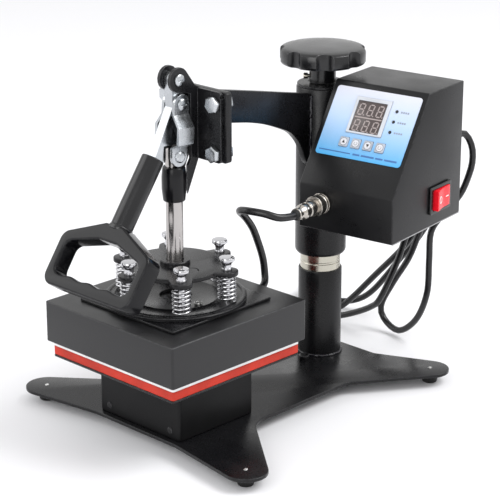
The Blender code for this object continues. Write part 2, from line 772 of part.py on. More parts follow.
def make_base(model):
    """Plate, its four studded feet, and the pedestal."""
    plate = Shape().prism(base_outline(), PLATE_LOW, PLATE_TOP)
    plate = model.node("base_plate", plate, "black_paint")
    join(model, plate, rivet_lugs())
    holes = Shape()
    for x, y in foot_places():
        at = Matrix.Translation((x, y, 0))
        low = PLATE_LOW - OVERRUN
        holes.pillar(FOOT_STUD_RADIUS + SCREW_ROOM, low, PLATE_TOP + OVERRUN, SMALL_STEPS, at)
    at = Matrix.Translation((COLUMN_X, COLUMN_BEHIND, 0))
    holes.pillar(SPIGOT_RADIUS + GAP, PLATE_LOW - OVERRUN, PLATE_TOP + OVERRUN, ROUND_STEPS, at)
    for at in rivet_seats():
        holes.pillar(RIVET_SHANK + SCREW_ROOM, -PEDESTAL_WALL - LUG_THICK - OVERRUN, 0,
                     TINY_STEPS, at)
    model.cut(plate, holes)
    for name, (x, y) in zip(FOOT_NAMES, foot_places()):
        foot = Shape().turned([
            (0, 0), (FOOT_WAIST, 0), (FOOT_RADIUS, FOOT_TALL), (FOOT_STUD_RADIUS, FOOT_TALL),
            (FOOT_STUD_RADIUS, PLATE_TOP - GAP), (0, PLATE_TOP - GAP),
        ], ROUND_STEPS, Matrix.Translation((x, y, 0)))
        model.node(name, foot, "rubber")
    make_pedestal(model)


def rivet_lugs():
    """The plate's two upturned lugs, just inside the pedestal's walls."""
    lugs = Shape()
    for side, face in ((-1, -PEDESTAL_FRONT), (1, PEDESTAL_BACK)):
        outer = face - side * (PEDESTAL_WALL + GAP)
        low, high = sorted((outer, outer - side * LUG_THICK))
        lugs.block((-LUG_LONG / 2, low, PLATE_TOP - PLATE_THICK / 2),
                   (LUG_LONG / 2, high, PLATE_TOP + LUG_TALL))
    return lugs


def rivet_seats():
    """A matrix for each pedestal rivet, its +Z out of the wall."""
    return [
        aim((0, side, 0), (x, face + side * GAP, PEDESTAL_LOW + RIVET_UP))
        for side, face in ((-1, -PEDESTAL_FRONT), (1, PEDESTAL_BACK))
        for x in (-RIVET_X, RIVET_X)
    ]


def make_pedestal(model):
    """The riveted box under the bed."""
    middle = (0, (PEDESTAL_BACK - PEDESTAL_FRONT) / 2)
    half_y = (PEDESTAL_FRONT + PEDESTAL_BACK) / 2
    outer = rounded_box(PEDESTAL_HALF_X, half_y, PEDESTAL_CORNER, 3, middle)
    inner = rounded_box(PEDESTAL_HALF_X - PEDESTAL_WALL, half_y - PEDESTAL_WALL,
                        PEDESTAL_CORNER - PEDESTAL_WALL / 2, 3, middle)
    box = Shape().prism(outer, PEDESTAL_LOW, PEDESTAL_TOP)
    box = model.node("pedestal", box, "black_paint")
    hollow = Shape().prism(inner, PEDESTAL_LOW - OVERRUN, PEDESTAL_TOP - PEDESTAL_WALL)
    model.cut(box, hollow)
    holes = Shape()
    for x in (-BED_STUD_X, BED_STUD_X):
        for y in (-BED_STUD_Y, BED_STUD_Y):
            at = Matrix.Translation((x, y, 0))
            holes.pillar(BED_STUD_RADIUS + SCREW_ROOM, PEDESTAL_TOP - PEDESTAL_WALL - OVERRUN,
                         PEDESTAL_TOP + OVERRUN, SMALL_STEPS, at)
    rivets = Shape()
    for at in rivet_seats():
        sunk = at @ Matrix.Translation((0, 0, -PEDESTAL_WALL / 2))
        pan_screw(rivets, RIVET_SHANK, PEDESTAL_WALL / 2 + LUG_THICK + 2 * GAP, RIVET_HEAD,
                  PEDESTAL_WALL / 2 + RIVET_HEAD_TALL, sunk, TINY_STEPS)
    model.cut(box, holes)
    join(model, box, rivets)


def make_bed(model):
    """Lower plate with its weld studs, and the silicone pad."""
    outline = rounded_box(BED_HALF, BED_HALF, BED_CORNER)
    plate = model.node("lower_plate", Shape().prism(outline, LOWER_PLATE_LOW, LOWER_PLATE_TOP),
                       "black_paint")
    studs = Shape()
    for x in (-BED_STUD_X, BED_STUD_X):
        for y in (-BED_STUD_Y, BED_STUD_Y):
            studs.pillar(BED_STUD_RADIUS, LOWER_PLATE_LOW - BED_STUD_LONG,
                         LOWER_PLATE_LOW + LOWER_PLATE_THICK / 2, SMALL_STEPS,
                         Matrix.Translation((x, y, 0)))
    join(model, plate, studs)
    model.node("silicone_pad", Shape().prism(outline, PAD_LOW, PAD_TOP), "red_silicone")


def make_column(model, column):
    """Outer tube, inner post and the liner that slides on it."""
    tube = Shape().turned([
        (POST_RADIUS + GAP, COLUMN_LOW), (COLUMN_RADIUS, COLUMN_LOW),
        (COLUMN_RADIUS, COLUMN_TOP - COLUMN_EDGE), (COLUMN_RADIUS - COLUMN_EDGE, COLUMN_TOP),
        (POST_RADIUS + GAP, COLUMN_TOP),
    ], FINE_STEPS)
    model.node("lower_column", tube, "black_paint", column)
    post = Shape().turned([
        (0, PLATE_LOW + GAP), (SPIGOT_RADIUS, PLATE_LOW + GAP), (SPIGOT_RADIUS, COLUMN_LOW),
        (POST_RADIUS, COLUMN_LOW), (POST_RADIUS, POST_TOP), (POST_BORE, POST_TOP),
        (POST_BORE, POST_TOP - POST_BORE_DEEP), (0, POST_TOP - POST_BORE_DEEP),
    ], FINE_STEPS)
    model.node("inner_post", post, "yellow_zinc", column)
    liner = Shape().pipe(LINER_OUTER, LINER_INNER, SLEEVE_LOW + LINER_INSET,
                         POST_TOP - LINER_INSET, FINE_STEPS)
    model.node("slide_liner", liner, "bronze", column)


def make_sleeve(model, swing):
    """Sleeve with the box's weld-on plate, and its cap."""
    sleeve = Shape().turned([
        (0, SLEEVE_LOW), (SLEEVE_RADIUS - SLEEVE_CHAMFER, SLEEVE_LOW),
        (SLEEVE_RADIUS, SLEEVE_LOW + SLEEVE_CHAMFER_TALL), (SLEEVE_RADIUS, SLEEVE_TOP),
        (0, SLEEVE_TOP),
    ], FINE_STEPS)
    sleeve = model.node("swing_sleeve", sleeve, "black_paint", swing)
    low = BOX_LOW + PAD_PLATE_UP
    weld = Shape().block((SLEEVE_BORE + (SLEEVE_RADIUS - SLEEVE_BORE) / 2, -PAD_PLATE_DEEP / 2,
                          low), (BOX_LEFT - GAP, PAD_PLATE_DEEP / 2, low + PAD_PLATE_TALL))
    join(model, sleeve, weld)
    bore = Shape().pillar(SLEEVE_BORE, SLEEVE_LOW - OVERRUN, SLEEVE_TOP + OVERRUN, FINE_STEPS)
    model.cut(sleeve, bore)
    holes = Shape()
    for up in pad_screw_ups():
        at = aim((1, 0, 0), (BOX_LEFT, 0, up))
        holes.pillar(PAD_SCREW_RADIUS + SCREW_ROOM, -BOX_LEFT + SLEEVE_BORE - OVERRUN, OVERRUN,
                     SMALL_STEPS, at)
    model.cut(sleeve, holes)
    mouth = SCREW_RADIUS + SCREW_ROOM
    cap = Shape().turned([
        (mouth, CAP_PLUG_LOW), (SLEEVE_BORE - GAP, CAP_PLUG_LOW), (SLEEVE_BORE - GAP, CAP_LIP_LOW),
        (SLEEVE_RADIUS - CAP_LIP_INSET, CAP_LIP_LOW), (SLEEVE_RADIUS - CAP_LIP_INSET, CAP_TOP),
        (mouth, CAP_TOP),
    ], FINE_STEPS)
    model.node("sleeve_cap", cap, "black_paint", swing)


def knob_outline(radius):
    """Lobes and notches round the knob."""
    steps = KNOB_LOBES * KNOB_STEPS_PER_LOBE
    points = []
    for step in range(steps):
        angle = 2 * math.pi * step / steps
        wave = (1 - math.cos(KNOB_LOBES * angle)) / 2
        reach = radius * (1 - KNOB_NOTCH_SHARE * 2 * (1 - wave) ** 2)
        points.append((reach * math.cos(angle), reach * math.sin(angle)))
    return points


def make_knob(model, column):
    """Star knob with the moulded-in screw that lifts the head."""
    rings = [
        (KNOB_RADIUS - KNOB_EDGE, KNOB_LOW), (KNOB_RADIUS, KNOB_LOW + KNOB_EDGE),
        (KNOB_RADIUS, KNOB_LOW + KNOB_TALL - KNOB_EDGE),
        (KNOB_RADIUS - KNOB_EDGE, KNOB_LOW + KNOB_TALL),
    ]
    count = KNOB_LOBES * KNOB_STEPS_PER_LOBE
    points = []
    for radius, height in rings:
        points += [(x, y, height) for x, y in knob_outline(radius)]
    under = len(points)
    points += [(0, 0, KNOB_LOW), (0, 0, KNOB_LOW + KNOB_TALL + KNOB_DOME)]
    faces = []
    for step in range(count):
        after = (step + 1) % count
        faces.append([under, after, step])
        faces.append([under + 1, 3 * count + step, 3 * count + after])
        for ring in range(3):
            faces.append([ring * count + step, ring * count + after,
                          (ring + 1) * count + after, (ring + 1) * count + step])
    knob = model.node("star_knob", Shape().add(points, faces), "black_plastic", column)
    collar_top = CAP_PLUG_LOW - GAP
    collar_low = collar_top - SCREW_COLLAR_TALL
    screw = Shape().turned([
        (0, POST_TOP - SCREW_IN_POST), (SCREW_RADIUS, POST_TOP - SCREW_IN_POST),
        (SCREW_RADIUS, collar_low), (SCREW_COLLAR, collar_low), (SCREW_COLLAR, collar_top),
        (SCREW_RADIUS, collar_top), (SCREW_RADIUS, KNOB_NECK_LOW),
        (KNOB_NECK_RADIUS, KNOB_NECK_LOW), (KNOB_NECK_RADIUS, KNOB_LOW + KNOB_TALL / 2),
        (0, KNOB_LOW + KNOB_TALL / 2),
    ], ROUND_STEPS)
    join(model, knob, screw)


def make_arm(model, swing):
    """The flame-cut arm, from the sleeve to the mount plate."""
    top = [(-ahead, SLEEVE_LOW + up) for ahead, up in ARM_TOP]
    under = [(-ahead, SLEEVE_LOW + up) for ahead, up in ARM_UNDER]
    outline = [(y, z, 0) for y, z in top + under]
    arm = Shape().prism(rounded(outline), -ARM_HALF, ARM_HALF, "yz")
    arm = model.node("swing_arm", arm, "black_paint", swing)
    from_bed = (Matrix.Translation((COLUMN_X, COLUMN_BEHIND, 0))
                @ Matrix.Rotation(SWING_ANGLE, 4, "Z")).inverted()
    plate_room = Shape().block((-MOUNT_HALF, 0, MOUNT_LOW - OVERRUN),
                               (MOUNT_HALF, MOUNT_BACK + GAP, MOUNT_LOW + MOUNT_TALL + OVERRUN),
                               from_bed)
    model.cut(arm, plate_room)


def bolt_places():
    """The four bolts of the mount plate, by name."""
    return {
        f"mount_bolt_{high}_{hand}": (x, BOLT_MIDDLE + rise)
        for high, rise in (("upper", BOLT_RISE), ("lower", -BOLT_RISE))
        for hand, x in (("left", -BOLT_X), ("right", BOLT_X))
    }


def make_mount(model, bed):
    """Mount plate on the arm's end, with its bolts and nuts."""
    outline = rounded_box(MOUNT_HALF, MOUNT_TALL / 2, MOUNT_CORNER, 3, (0, MOUNT_MIDDLE))
    plate = model.node("mount_plate", Shape().prism(outline, MOUNT_FRONT, MOUNT_BACK, "xz"),
                       "black_paint", bed)
    model.cut(plate, mount_holes())
    for name, (x, z) in bolt_places().items():
        front = aim((0, -1, 0), (x, FLANGE_FRONT - GAP, z))
        back = aim((0, 1, 0), (x, MOUNT_BACK + GAP, z))
        bolt = model.node(name, Shape().hexagon(BOLT_HEAD, 0, BOLT_HEAD_TALL, front), "zinc", bed)
        rest = Shape().hexagon(BOLT_HEAD, 0, NUT_TALL, back)
        join(model, bolt, rest)
        reach = BRACKET_SHEET + MOUNT_THICK + NUT_TALL / 2 + 3 * GAP
        shank = Shape().pillar(BOLT_RADIUS, -reach, BOLT_HEAD_TALL / 2, SMALL_STEPS, front)
        join(model, bolt, shank)


def join(model, target, shape):
    """Weld a hidden shape's bodies onto a piece."""
    model.cut(target, shape)
    target.modifiers[-1].operation = "UNION"
    return target


def mount_holes():
    """Bolt holes and the peep hole, through flange and plate."""
    holes = Shape()
    for x, z in bolt_places().values():
        at = aim((0, 1, 0), (x, 0, z))
        holes.pillar(BOLT_RADIUS + SCREW_ROOM, FLANGE_FRONT - OVERRUN, MOUNT_BACK + OVERRUN,
                     SMALL_STEPS, at)
    for x in (-PEEP_X, PEEP_X):
        at = aim((0, 1, 0), (x, 0, MOUNT_LOW + MOUNT_TALL - PEEP_DOWN))
        holes.pillar(PEEP_RADIUS, FLANGE_FRONT - OVERRUN, MOUNT_BACK + OVERRUN, TINY_STEPS, at)
    return holes


def bracket_profile():
    """The side plate of the toggle bracket, as (y, z)."""
    mount_top = MOUNT_LOW + MOUNT_TALL
    lobe = arc_points((0, TOP_PIVOT_UP), LUG_RADIUS, math.radians(40), math.radians(270), 12)
    guide_top = GUIDE_LOW + GUIDE_TALL
    return lobe + [
        (LUG_CLEAR_BACK, TOP_PIVOT_UP - LUG_RADIUS - LUG_CLEAR_BACK * LUG_SLANT_SHARE),
        (LUG_CLEAR_BACK, guide_top + LOBE_RADIUS * NECK_SHARE),
        (BUSH_REST_BACK, guide_top),
        (BRACKET_TOE_FRONT, guide_top),
        (BRACKET_TOE_FRONT, BRACKET_TOE_UP),
        (BRACKET_TOE_BACK, BRACKET_TOE_UP),
        (BRACKET_HEEL_BACK, MOUNT_LOW),
        (FLANGE_FRONT + BRACKET_SHEET, MOUNT_LOW),
        (FLANGE_FRONT + BRACKET_SHEET, mount_top),
        (FLANGE_FRONT - BRACKET_SHEET, mount_top + BRACKET_SHEET),
    ]


def make_bracket(model, bed):
    """Two bent halves that hold the top pivot and the guide bush."""
    for side, name in ((-1, "toggle_bracket_left"), (1, "toggle_bracket_right")):
        low, high = sorted((side * LUG_INNER, side * LUG_OUTER))
        half = model.node(name, Shape().prism(bracket_profile(), low, high, "yz"),
                          "black_paint", bed)
        low, high = sorted((side * (LUG_OUTER - BRACKET_SHEET / 2), side * FLANGE_HALF))
        outline = rounded_box((high - low) / 2, MOUNT_TALL / 2, MOUNT_CORNER, 3,
                              ((low + high) / 2, MOUNT_MIDDLE))
        flange = Shape().prism(outline, FLANGE_FRONT, FLANGE_FRONT + BRACKET_SHEET - GAP / 2, "xz")
        join(model, half, flange)
        holes = mount_holes()
        across = aim((1, 0, 0), (0, 0, TOP_PIVOT_UP))
        holes.pillar(PIVOT_RADIUS + SCREW_ROOM, -LUG_OUTER - OVERRUN, LUG_OUTER + OVERRUN,
                     SMALL_STEPS, across)
        holes.pillar(GUIDE_RADIUS + GAP, GUIDE_LOW - OVERRUN, GUIDE_LOW + GUIDE_TALL + GAP)
        model.cut(half, holes)
    guide = Shape().turned([
        (ROD_RADIUS + ROD_ROOM, GUIDE_LOW), (GUIDE_END_RADIUS, GUIDE_LOW),
        (GUIDE_RADIUS, GUIDE_LOW + GUIDE_TALL * GUIDE_WAIST_SHARES[0]),
        (GUIDE_RADIUS, GUIDE_LOW + GUIDE_TALL * GUIDE_WAIST_SHARES[1]),
        (GUIDE_END_RADIUS, GUIDE_LOW + GUIDE_TALL), (ROD_RADIUS + ROD_ROOM, GUIDE_LOW + GUIDE_TALL),
    ], ROUND_STEPS)
    model.node("guide_bush", guide, "black_plastic", bed)
    pin = crowned_pin(Shape(), LUG_OUTER, (0, 0, TOP_PIVOT_UP))
    model.node("top_pivot_pin", pin, "zinc", bed)


def crowned_pin(shape, half, at):
    """A pin along X with a crown outside each end of its grip."""
    end = half + GAP
    crown = end + RIVET_CROWN_TALL
    return shape.turned([
        (0, -crown), (RIVET_CROWN_RADIUS * HEAD_FLAT_SHARE, -crown),
        (RIVET_CROWN_RADIUS, -end - RIVET_CROWN_TALL / 2), (RIVET_CROWN_RADIUS, -end),
        (PIVOT_RADIUS, -end), (PIVOT_RADIUS, end), (RIVET_CROWN_RADIUS, end),
        (RIVET_CROWN_RADIUS, end + RIVET_CROWN_TALL / 2),
        (RIVET_CROWN_RADIUS * HEAD_FLAT_SHARE, crown), (0, crown),
    ], SMALL_STEPS, aim((1, 0, 0), at))


def handle_frame_axes():
    """Down the tube and out of its front, as (y, z) pairs."""
    down = Vector((-math.cos(HANDLE_TILT), -math.sin(HANDLE_TILT)))
    front = Vector((-math.sin(HANDLE_TILT), math.cos(HANDLE_TILT)))
    return down, front


def lever_profile():
    """The lever's side plate as (y, z)."""
    down, front = handle_frame_axes()
    tube_top = Vector((-TUBE_TOP_AHEAD, TUBE_TOP_UP)) - down * GAP
    toe = tube_top + front * LEVER_TOE_OUT
    heel = tube_top - front * (TUBE_RADIUS * HEEL_SHARE)
    crown = arc_points((0, TOP_PIVOT_UP), LEVER_CROWN, math.radians(10), math.radians(172), 8)
    return crown + [
        (-KINK_AHEAD - LEVER_SHEET, KINK_UP), (toe.x, toe.y), (heel.x, heel.y),
        (-LEVER_HEEL_AHEAD, LEVER_HEEL_UP), (LEVER_HEEL_BACK, LEVER_HEEL_UP),
        (LEVER_BACK, LINK_PIVOT_UP - LOBE_RADIUS * NECK_SHARE), (LEVER_BACK, LINK_PIVOT_UP),
    ]


def lever_hollow():
    """The channel's inside: open at the back and at the bottom."""
    down, front = handle_frame_axes()
    tube_top = Vector((-TUBE_TOP_AHEAD, TUBE_TOP_UP))
    toe = tube_top + front * (LEVER_TOE_OUT - LEVER_SHEET) + down * OVERRUN
    heel = tube_top - front * (TUBE_RADIUS * 2) + down * OVERRUN
    reach = LEVER_CROWN - LEVER_SHEET
    crown = arc_points((0, TOP_PIVOT_UP), reach, math.radians(90), math.radians(172), 5)
    past = LEVER_BACK + OVERRUN
    return [(past, TOP_PIVOT_UP + reach)] + crown + [
        (-KINK_AHEAD, KINK_UP), (toe.x, toe.y), (heel.x, heel.y),
        (past, LEVER_HEEL_UP - OVERRUN),
    ]


def make_lever(model, bed):
    """Folded channel, handle tube with its shank, and D grip."""
    lever = model.node("lever_channel",
                       Shape().prism(lever_profile(), -LEVER_HALF, LEVER_HALF, "yz"), "zinc", bed)
    inside = LEVER_HALF - LEVER_SHEET
    model.cut(lever, Shape().prism(lever_hollow(), -inside, inside, "yz"))
    holes = Shape()
    for at in ((0, 0, TOP_PIVOT_UP), (0, OVER_CENTRE, LINK_PIVOT_UP)):
        holes.pillar(PIVOT_RADIUS + SCREW_ROOM, -LEVER_HALF - OVERRUN, LEVER_HALF + OVERRUN,
                     SMALL_STEPS, aim((1, 0, 0), at))
    model.cut(lever, holes)
    handle = model.frame("handle_axis", bed, (0, -TUBE_TOP_AHEAD, TUBE_TOP_UP),
                         (HANDLE_TILT - math.pi / 2, 0, 0))
    tube = Shape().turned([
        (0, -TUBE_LONG - SHANK_IN_GRIP), (SHANK_RADIUS, -TUBE_LONG - SHANK_IN_GRIP),
        (SHANK_RADIUS, -TUBE_LONG), (TUBE_RADIUS, -TUBE_LONG), (TUBE_RADIUS, -GAP),
        (TUBE_BORE, -GAP), (TUBE_BORE, -TUBE_RECESS), (0, -TUBE_RECESS),
    ], ROUND_STEPS)
    tube = model.node("handle_tube", tube, "black_paint", handle)
    stud = Shape().pillar(TUBE_STUD_RADIUS, -2 * TUBE_RECESS, TUBE_STUD_LONG, SMALL_STEPS,
                          Matrix.Translation((0, TUBE_STUD_BACK, 0)))
    join(model, tube, stud)
    make_grip(model, handle)


def grip_outline():
    """The grip seen square on: x across, y up the tube."""
    return rounded([
        (-GRIP_BAR_HALF, -GRIP_BAR_DOWN, GRIP_CORNER), (GRIP_BAR_HALF, -GRIP_BAR_DOWN, GRIP_CORNER),
        (GRIP_SHOULDER_HALF, -GRIP_SHOULDER_DOWN, GRIP_CORNER),
        (GRIP_BOSS_HALF, -GRIP_BOSS_DOWN, 0), (-GRIP_BOSS_HALF, -GRIP_BOSS_DOWN, 0),
        (-GRIP_SHOULDER_HALF, -GRIP_SHOULDER_DOWN, GRIP_CORNER),
    ], 5)


def grip_opening():
    """The hand hole, with finger bumps on the bar."""
    bar = -GRIP_BAR_DOWN + GRIP_BAR_THICK
    corner = GRIP_CORNER - GRIP_WALL / 4
    half_bar = GRIP_BAR_HALF - GRIP_WALL
    half_shoulder = GRIP_SHOULDER_HALF - GRIP_WALL
    shoulder = -GRIP_SHOULDER_DOWN - GRIP_WALL * GRIP_SLANT_SHARE
    crown = -GRIP_BOSS_DOWN - GRIP_CROWN_THICK
    rest = rounded([
        (half_bar, bar, corner), (half_shoulder, shoulder, corner), (GRIP_BOSS_HALF, crown, 0),
        (-GRIP_BOSS_HALF, crown, 0), (-half_shoulder, shoulder, corner), (-half_bar, bar, corner),
    ], 4)
    bumps = []
    steps = 8 * FINGER_BUMPS
    span = FINGER_PITCH * FINGER_BUMPS
    for step in range(1, steps):
        share = step / steps
        rise = FINGER_BUMP * (1 - math.cos(2 * math.pi * FINGER_BUMPS * share)) / 2
        bumps.append((span * (share - 0.5), bar + rise))
    return rest + bumps


def make_grip(model, handle):
    """The moulded D grip on the tube's end."""
    grip = Shape().prism(grip_outline(), -GRIP_DEEP / 2, GRIP_DEEP / 2, "xz")
    grip = model.node("d_grip", grip, "black_plastic", handle)
    opening = Shape().prism(grip_opening(), -GRIP_DEEP, GRIP_DEEP, "xz")
    model.cut(grip, opening)
    model.soften(grip, GRIP_EDGE)
    bore = Shape().pillar(SHANK_RADIUS + SCREW_ROOM, -TUBE_LONG - SHANK_IN_GRIP - GAP,
                          -GRIP_BOSS_DOWN + OVERRUN, SMALL_STEPS)
    model.cut(grip, bore)


def strap_bends():
    """One strap's edge, seen from the front: (out, down) with its joggle."""
    first, second, third, fourth = STRAP_STEP_SHARES
    inner = [
        (STRAP_INNER, -LOBE_RADIUS - OVERRUN), (STRAP_INNER, LINK * first),
        (STRAP_INNER + STRAP_STEP, LINK * second), (STRAP_INNER + STRAP_STEP, LINK * third),
        (STRAP_INNER, LINK * fourth), (STRAP_INNER, LINK + LOBE_RADIUS + OVERRUN),
    ]
    outer = [(out + STRAP_SHEET, down) for out, down in inner]
    return inner + outer[::-1]


def strap_face():
    """One strap seen from the side: a slot shape about its two holes."""
    top = arc_points((0, 0), LOBE_RADIUS, 0, math.pi, 10)
    bottom = arc_points((0, -LINK), LOBE_RADIUS, math.pi, 2 * math.pi, 10)
    return top + bottom


def make_link(model, bed):
    """Two joggled straps with a rivet at the rod end, and their pin."""
    lean = math.atan2(OVER_CENTRE, LINK_PIVOT_UP - ROD_PIVOT_UP)
    link = model.frame("link_pivot", bed, (0, OVER_CENTRE, LINK_PIVOT_UP), (-lean, 0, 0))
    for side, name in ((-1, "link_strap_left"), (1, "link_strap_right")):
        bends = [(side * out, -down) for out, down in strap_bends()]
        strap = model.node(name, Shape().prism(bends, -LOBE_RADIUS - OVERRUN,
                                               LOBE_RADIUS + OVERRUN, "xz"), "zinc", link)
        wide = STRAP_OUTER + STRAP_STEP + OVERRUN
        low, high = sorted((side * (STRAP_INNER - OVERRUN), side * wide))
        model.trim(strap, Shape().prism(strap_face(), low, high, "yz"))
        model.cut(strap, Shape().pillar(PIVOT_RADIUS + SCREW_ROOM, low, high, SMALL_STEPS,
                                        aim((1, 0, 0), (0, 0, 0))))
        middle = STRAP_OUTER - STRAP_SHEET / 2
        crown = STRAP_OUTER + RIVET_CROWN_TALL
        rivet = Shape().turned([
            (0, middle), (RIVET_CROWN_RADIUS, middle),
            (RIVET_CROWN_RADIUS, crown - RIVET_CROWN_TALL / 2),
            (RIVET_CROWN_RADIUS * HEAD_FLAT_SHARE, crown), (0, crown),
        ], SMALL_STEPS, aim((side, 0, 0), (0, 0, -LINK)))
        join(model, strap, rivet)
    pin = crowned_pin(Shape(), STRAP_OUTER, (0, 0, 0))
    model.node("link_pin", pin, "zinc", link)


def post_places():
    """The six spring posts round the rod."""
    return [
        (POST_AT * math.cos(POST_PHASE + 2 * math.pi * index / POST_COUNT),
         POST_AT * math.sin(POST_PHASE + 2 * math.pi * index / POST_COUNT))
        for index in range(POST_COUNT)
    ]


def spider_outline():
    """A disc with a lobe round each post."""
    points = []
    for step in range(SPIDER_STEPS):
        angle = 2 * math.pi * step / SPIDER_STEPS + POST_PHASE
        reach = SPIDER_RADIUS
        for index in range(POST_COUNT):
            off = angle - POST_PHASE - 2 * math.pi * index / POST_COUNT
            across = POST_AT * math.sin(off)
            if abs(across) < SPIDER_LOBE and math.cos(off) > 0:
                tip = POST_AT * math.cos(off) + math.sqrt(SPIDER_LOBE ** 2 - across ** 2)
                reach = max(reach, tip)
        points.append((reach * math.cos(angle), reach * math.sin(angle)))
    return points


def make_plunger(model, bed):
    """Rod with its collar, and the spider plate on the collar."""
    top = ROD_PIVOT_UP + ROD_TOP_ROUND
    collar = SPIDER_LOW - GAP
    below = collar - ROD_COLLAR_TALL
    rod = Shape().turned([
        (0, below), (ROD_COLLAR_RADIUS, below), (ROD_COLLAR_RADIUS, collar), (ROD_RADIUS, collar),
        (ROD_RADIUS, top - ROD_EDGE), (ROD_RADIUS - ROD_EDGE, top), (0, top),
    ], ROUND_STEPS)
    rod = model.node("plunger_rod", rod, "chrome", bed)
    flats = Shape()
    for side in (-1, 1):
        low, high = sorted((side * ROD_FLAT, side * (ROD_RADIUS + OVERRUN)))
        flats.block((low, -ROD_RADIUS - OVERRUN, ROD_PIVOT_UP - ROD_FLAT_DROP),
                    (high, ROD_RADIUS + OVERRUN, top + OVERRUN))
    model.cut(rod, flats)
    spider = model.node("spider_plate", Shape().prism(spider_outline(), SPIDER_LOW, SPIDER_TOP),
                        "black_paint", bed)
    boss = Shape().pillar(SPIDER_BOSS, SPIDER_TOP - SPIDER_THICK / 2,
                          SPIDER_TOP + SPIDER_BOSS_TALL, ROUND_STEPS)
    join(model, spider, boss)
    holes = Shape().pillar(ROD_RADIUS + ROD_ROOM, SPIDER_LOW - OVERRUN,
                           SPIDER_TOP + SPIDER_BOSS_TALL + OVERRUN, ROUND_STEPS)
    for x, y in post_places():
        holes.pillar(SPOOL_STEM + SCREW_ROOM, SPIDER_LOW - OVERRUN, SPIDER_TOP + OVERRUN,
                     SMALL_STEPS, Matrix.Translation((x, y, 0)))
    model.cut(spider, holes)


def spring_posts():
    """Six spools on stems that stand in the dish."""
    posts = Shape()
    base = SPIDER_TOP + GAP
    waist = base + SPOOL_BASE_TALL
    fillet = SPOOL_WAIST_TALL * SPOOL_FILLET_SHARE
    cap = waist + SPOOL_WAIST_TALL
    crown = cap + SPOOL_CAP_TALL
    for x, y in post_places():
        posts.turned([
            (0, DISH_TOP - DISH_THICK / 2), (SPOOL_STEM, DISH_TOP - DISH_THICK / 2),
            (SPOOL_STEM, base), (SPOOL_BASE, base), (SPOOL_BASE, waist),
            (SPOOL_WAIST, waist + fillet), (SPOOL_WAIST, cap - fillet), (SPOOL_CAP, cap),
            (SPOOL_CAP, crown - SPOOL_DOME), (SPOOL_CAP * HEAD_FLAT_SHARE, crown), (0, crown),
        ], SMALL_STEPS, Matrix.Translation((x, y, 0)))
    return posts


def make_springs(model, bed):
    """One wound spring round each stem."""
    steps = SPRING_TURNS * SPRING_POINTS
    wire = SPRING_WIRE / 2
    start = SPRING_LOW + wire
    rise = SPRING_LONG - SPRING_WIRE
    for index, (x, y) in enumerate(post_places()):
        path = [
            (x + SPRING_RADIUS * math.cos(2 * math.pi * step / SPRING_POINTS),
             y + SPRING_RADIUS * math.sin(2 * math.pi * step / SPRING_POINTS),
             start + rise * step / steps) for step in range(steps + 1)
        ]
        model.tube(f"pressure_spring_{index + 1}", path, wire, 1, "zinc", bed)
        if index == 0:
            gap = least_gap(path, SPRING_WIRE) / MILLI
            print("least gap in a spring, mm:", round(gap, 2))


def least_gap(path, thick):
    """The least air between one tube's stretches, skipping near neighbours."""
    points = [Vector(point) for point in path]
    lengths = [0.0]
    for first, second in zip(points, points[1:]):
        lengths.append(lengths[-1] + (second - first).length)
    least = math.inf
    for i, first in enumerate(points):
        for j in range(i + 2, len(points)):
            if lengths[j] - lengths[i] > 4 * thick:
                least = min(least, (points[j] - first).length - thick)
    return least


def make_platen(model, bed):
    """Heater plate, wool, shell, square plate and the dish with its posts."""
    heater = rounded_box(BED_HALF, BED_HALF, HEATER_CORNER, 3)
    heater = model.node("heater_plate", Shape().prism(heater, HEATER_LOW, HEATER_TOP),
                        "aluminium", bed)
    join(model, heater, heating_ribs())
    wool_half = SHELL_HALF - SHELL_WALL - WOOL_INSET
    wool = rounded_box(wool_half, wool_half, HEATER_CORNER, 3)
    ceiling = SHELL_TOP - SHELL_WALL
    wool_low = HEATER_TOP + ELEMENT_TALL + GAP
    model.node("insulation_pad", Shape().prism(wool, wool_low, ceiling - GAP), "wool", bed)
    outer = rounded_box(SHELL_HALF, SHELL_HALF, SHELL_CORNER)
    inner_half = SHELL_HALF - SHELL_WALL
    inner = rounded_box(inner_half, inner_half, SHELL_CORNER - SHELL_WALL / 2)
    shell = model.node("platen_shell", Shape().prism(outer, SHELL_LOW, SHELL_TOP),
                       "black_paint", bed)
    model.cut(shell, Shape().prism(inner, SHELL_LOW - OVERRUN, ceiling))
    join(model, shell, cable_gland())
    square = rounded_box(SQUARE_HALF, SQUARE_HALF, SQUARE_CORNER, 3)
    model.node("square_plate", Shape().prism(square, SQUARE_LOW, SQUARE_TOP), "black_paint", bed)
    dish = model.node("round_dish", Shape().turned(dish_profile(), FINE_STEPS), "black_paint", bed)
    join(model, dish, spring_posts())


def heating_ribs():
    """The cast-in element: a U on the heater plate, open to the back."""
    outer = ELEMENT_HALF
    inner = ELEMENT_HALF - ELEMENT_WIDE
    outline = [
        (-outer, outer), (-outer, -outer), (outer, -outer), (outer, outer),
        (inner, outer), (inner, -inner), (-inner, -inner), (-inner, outer),
    ]
    return Shape().prism(outline, HEATER_TOP - ELEMENT_TALL / 2, HEATER_TOP + ELEMENT_TALL)


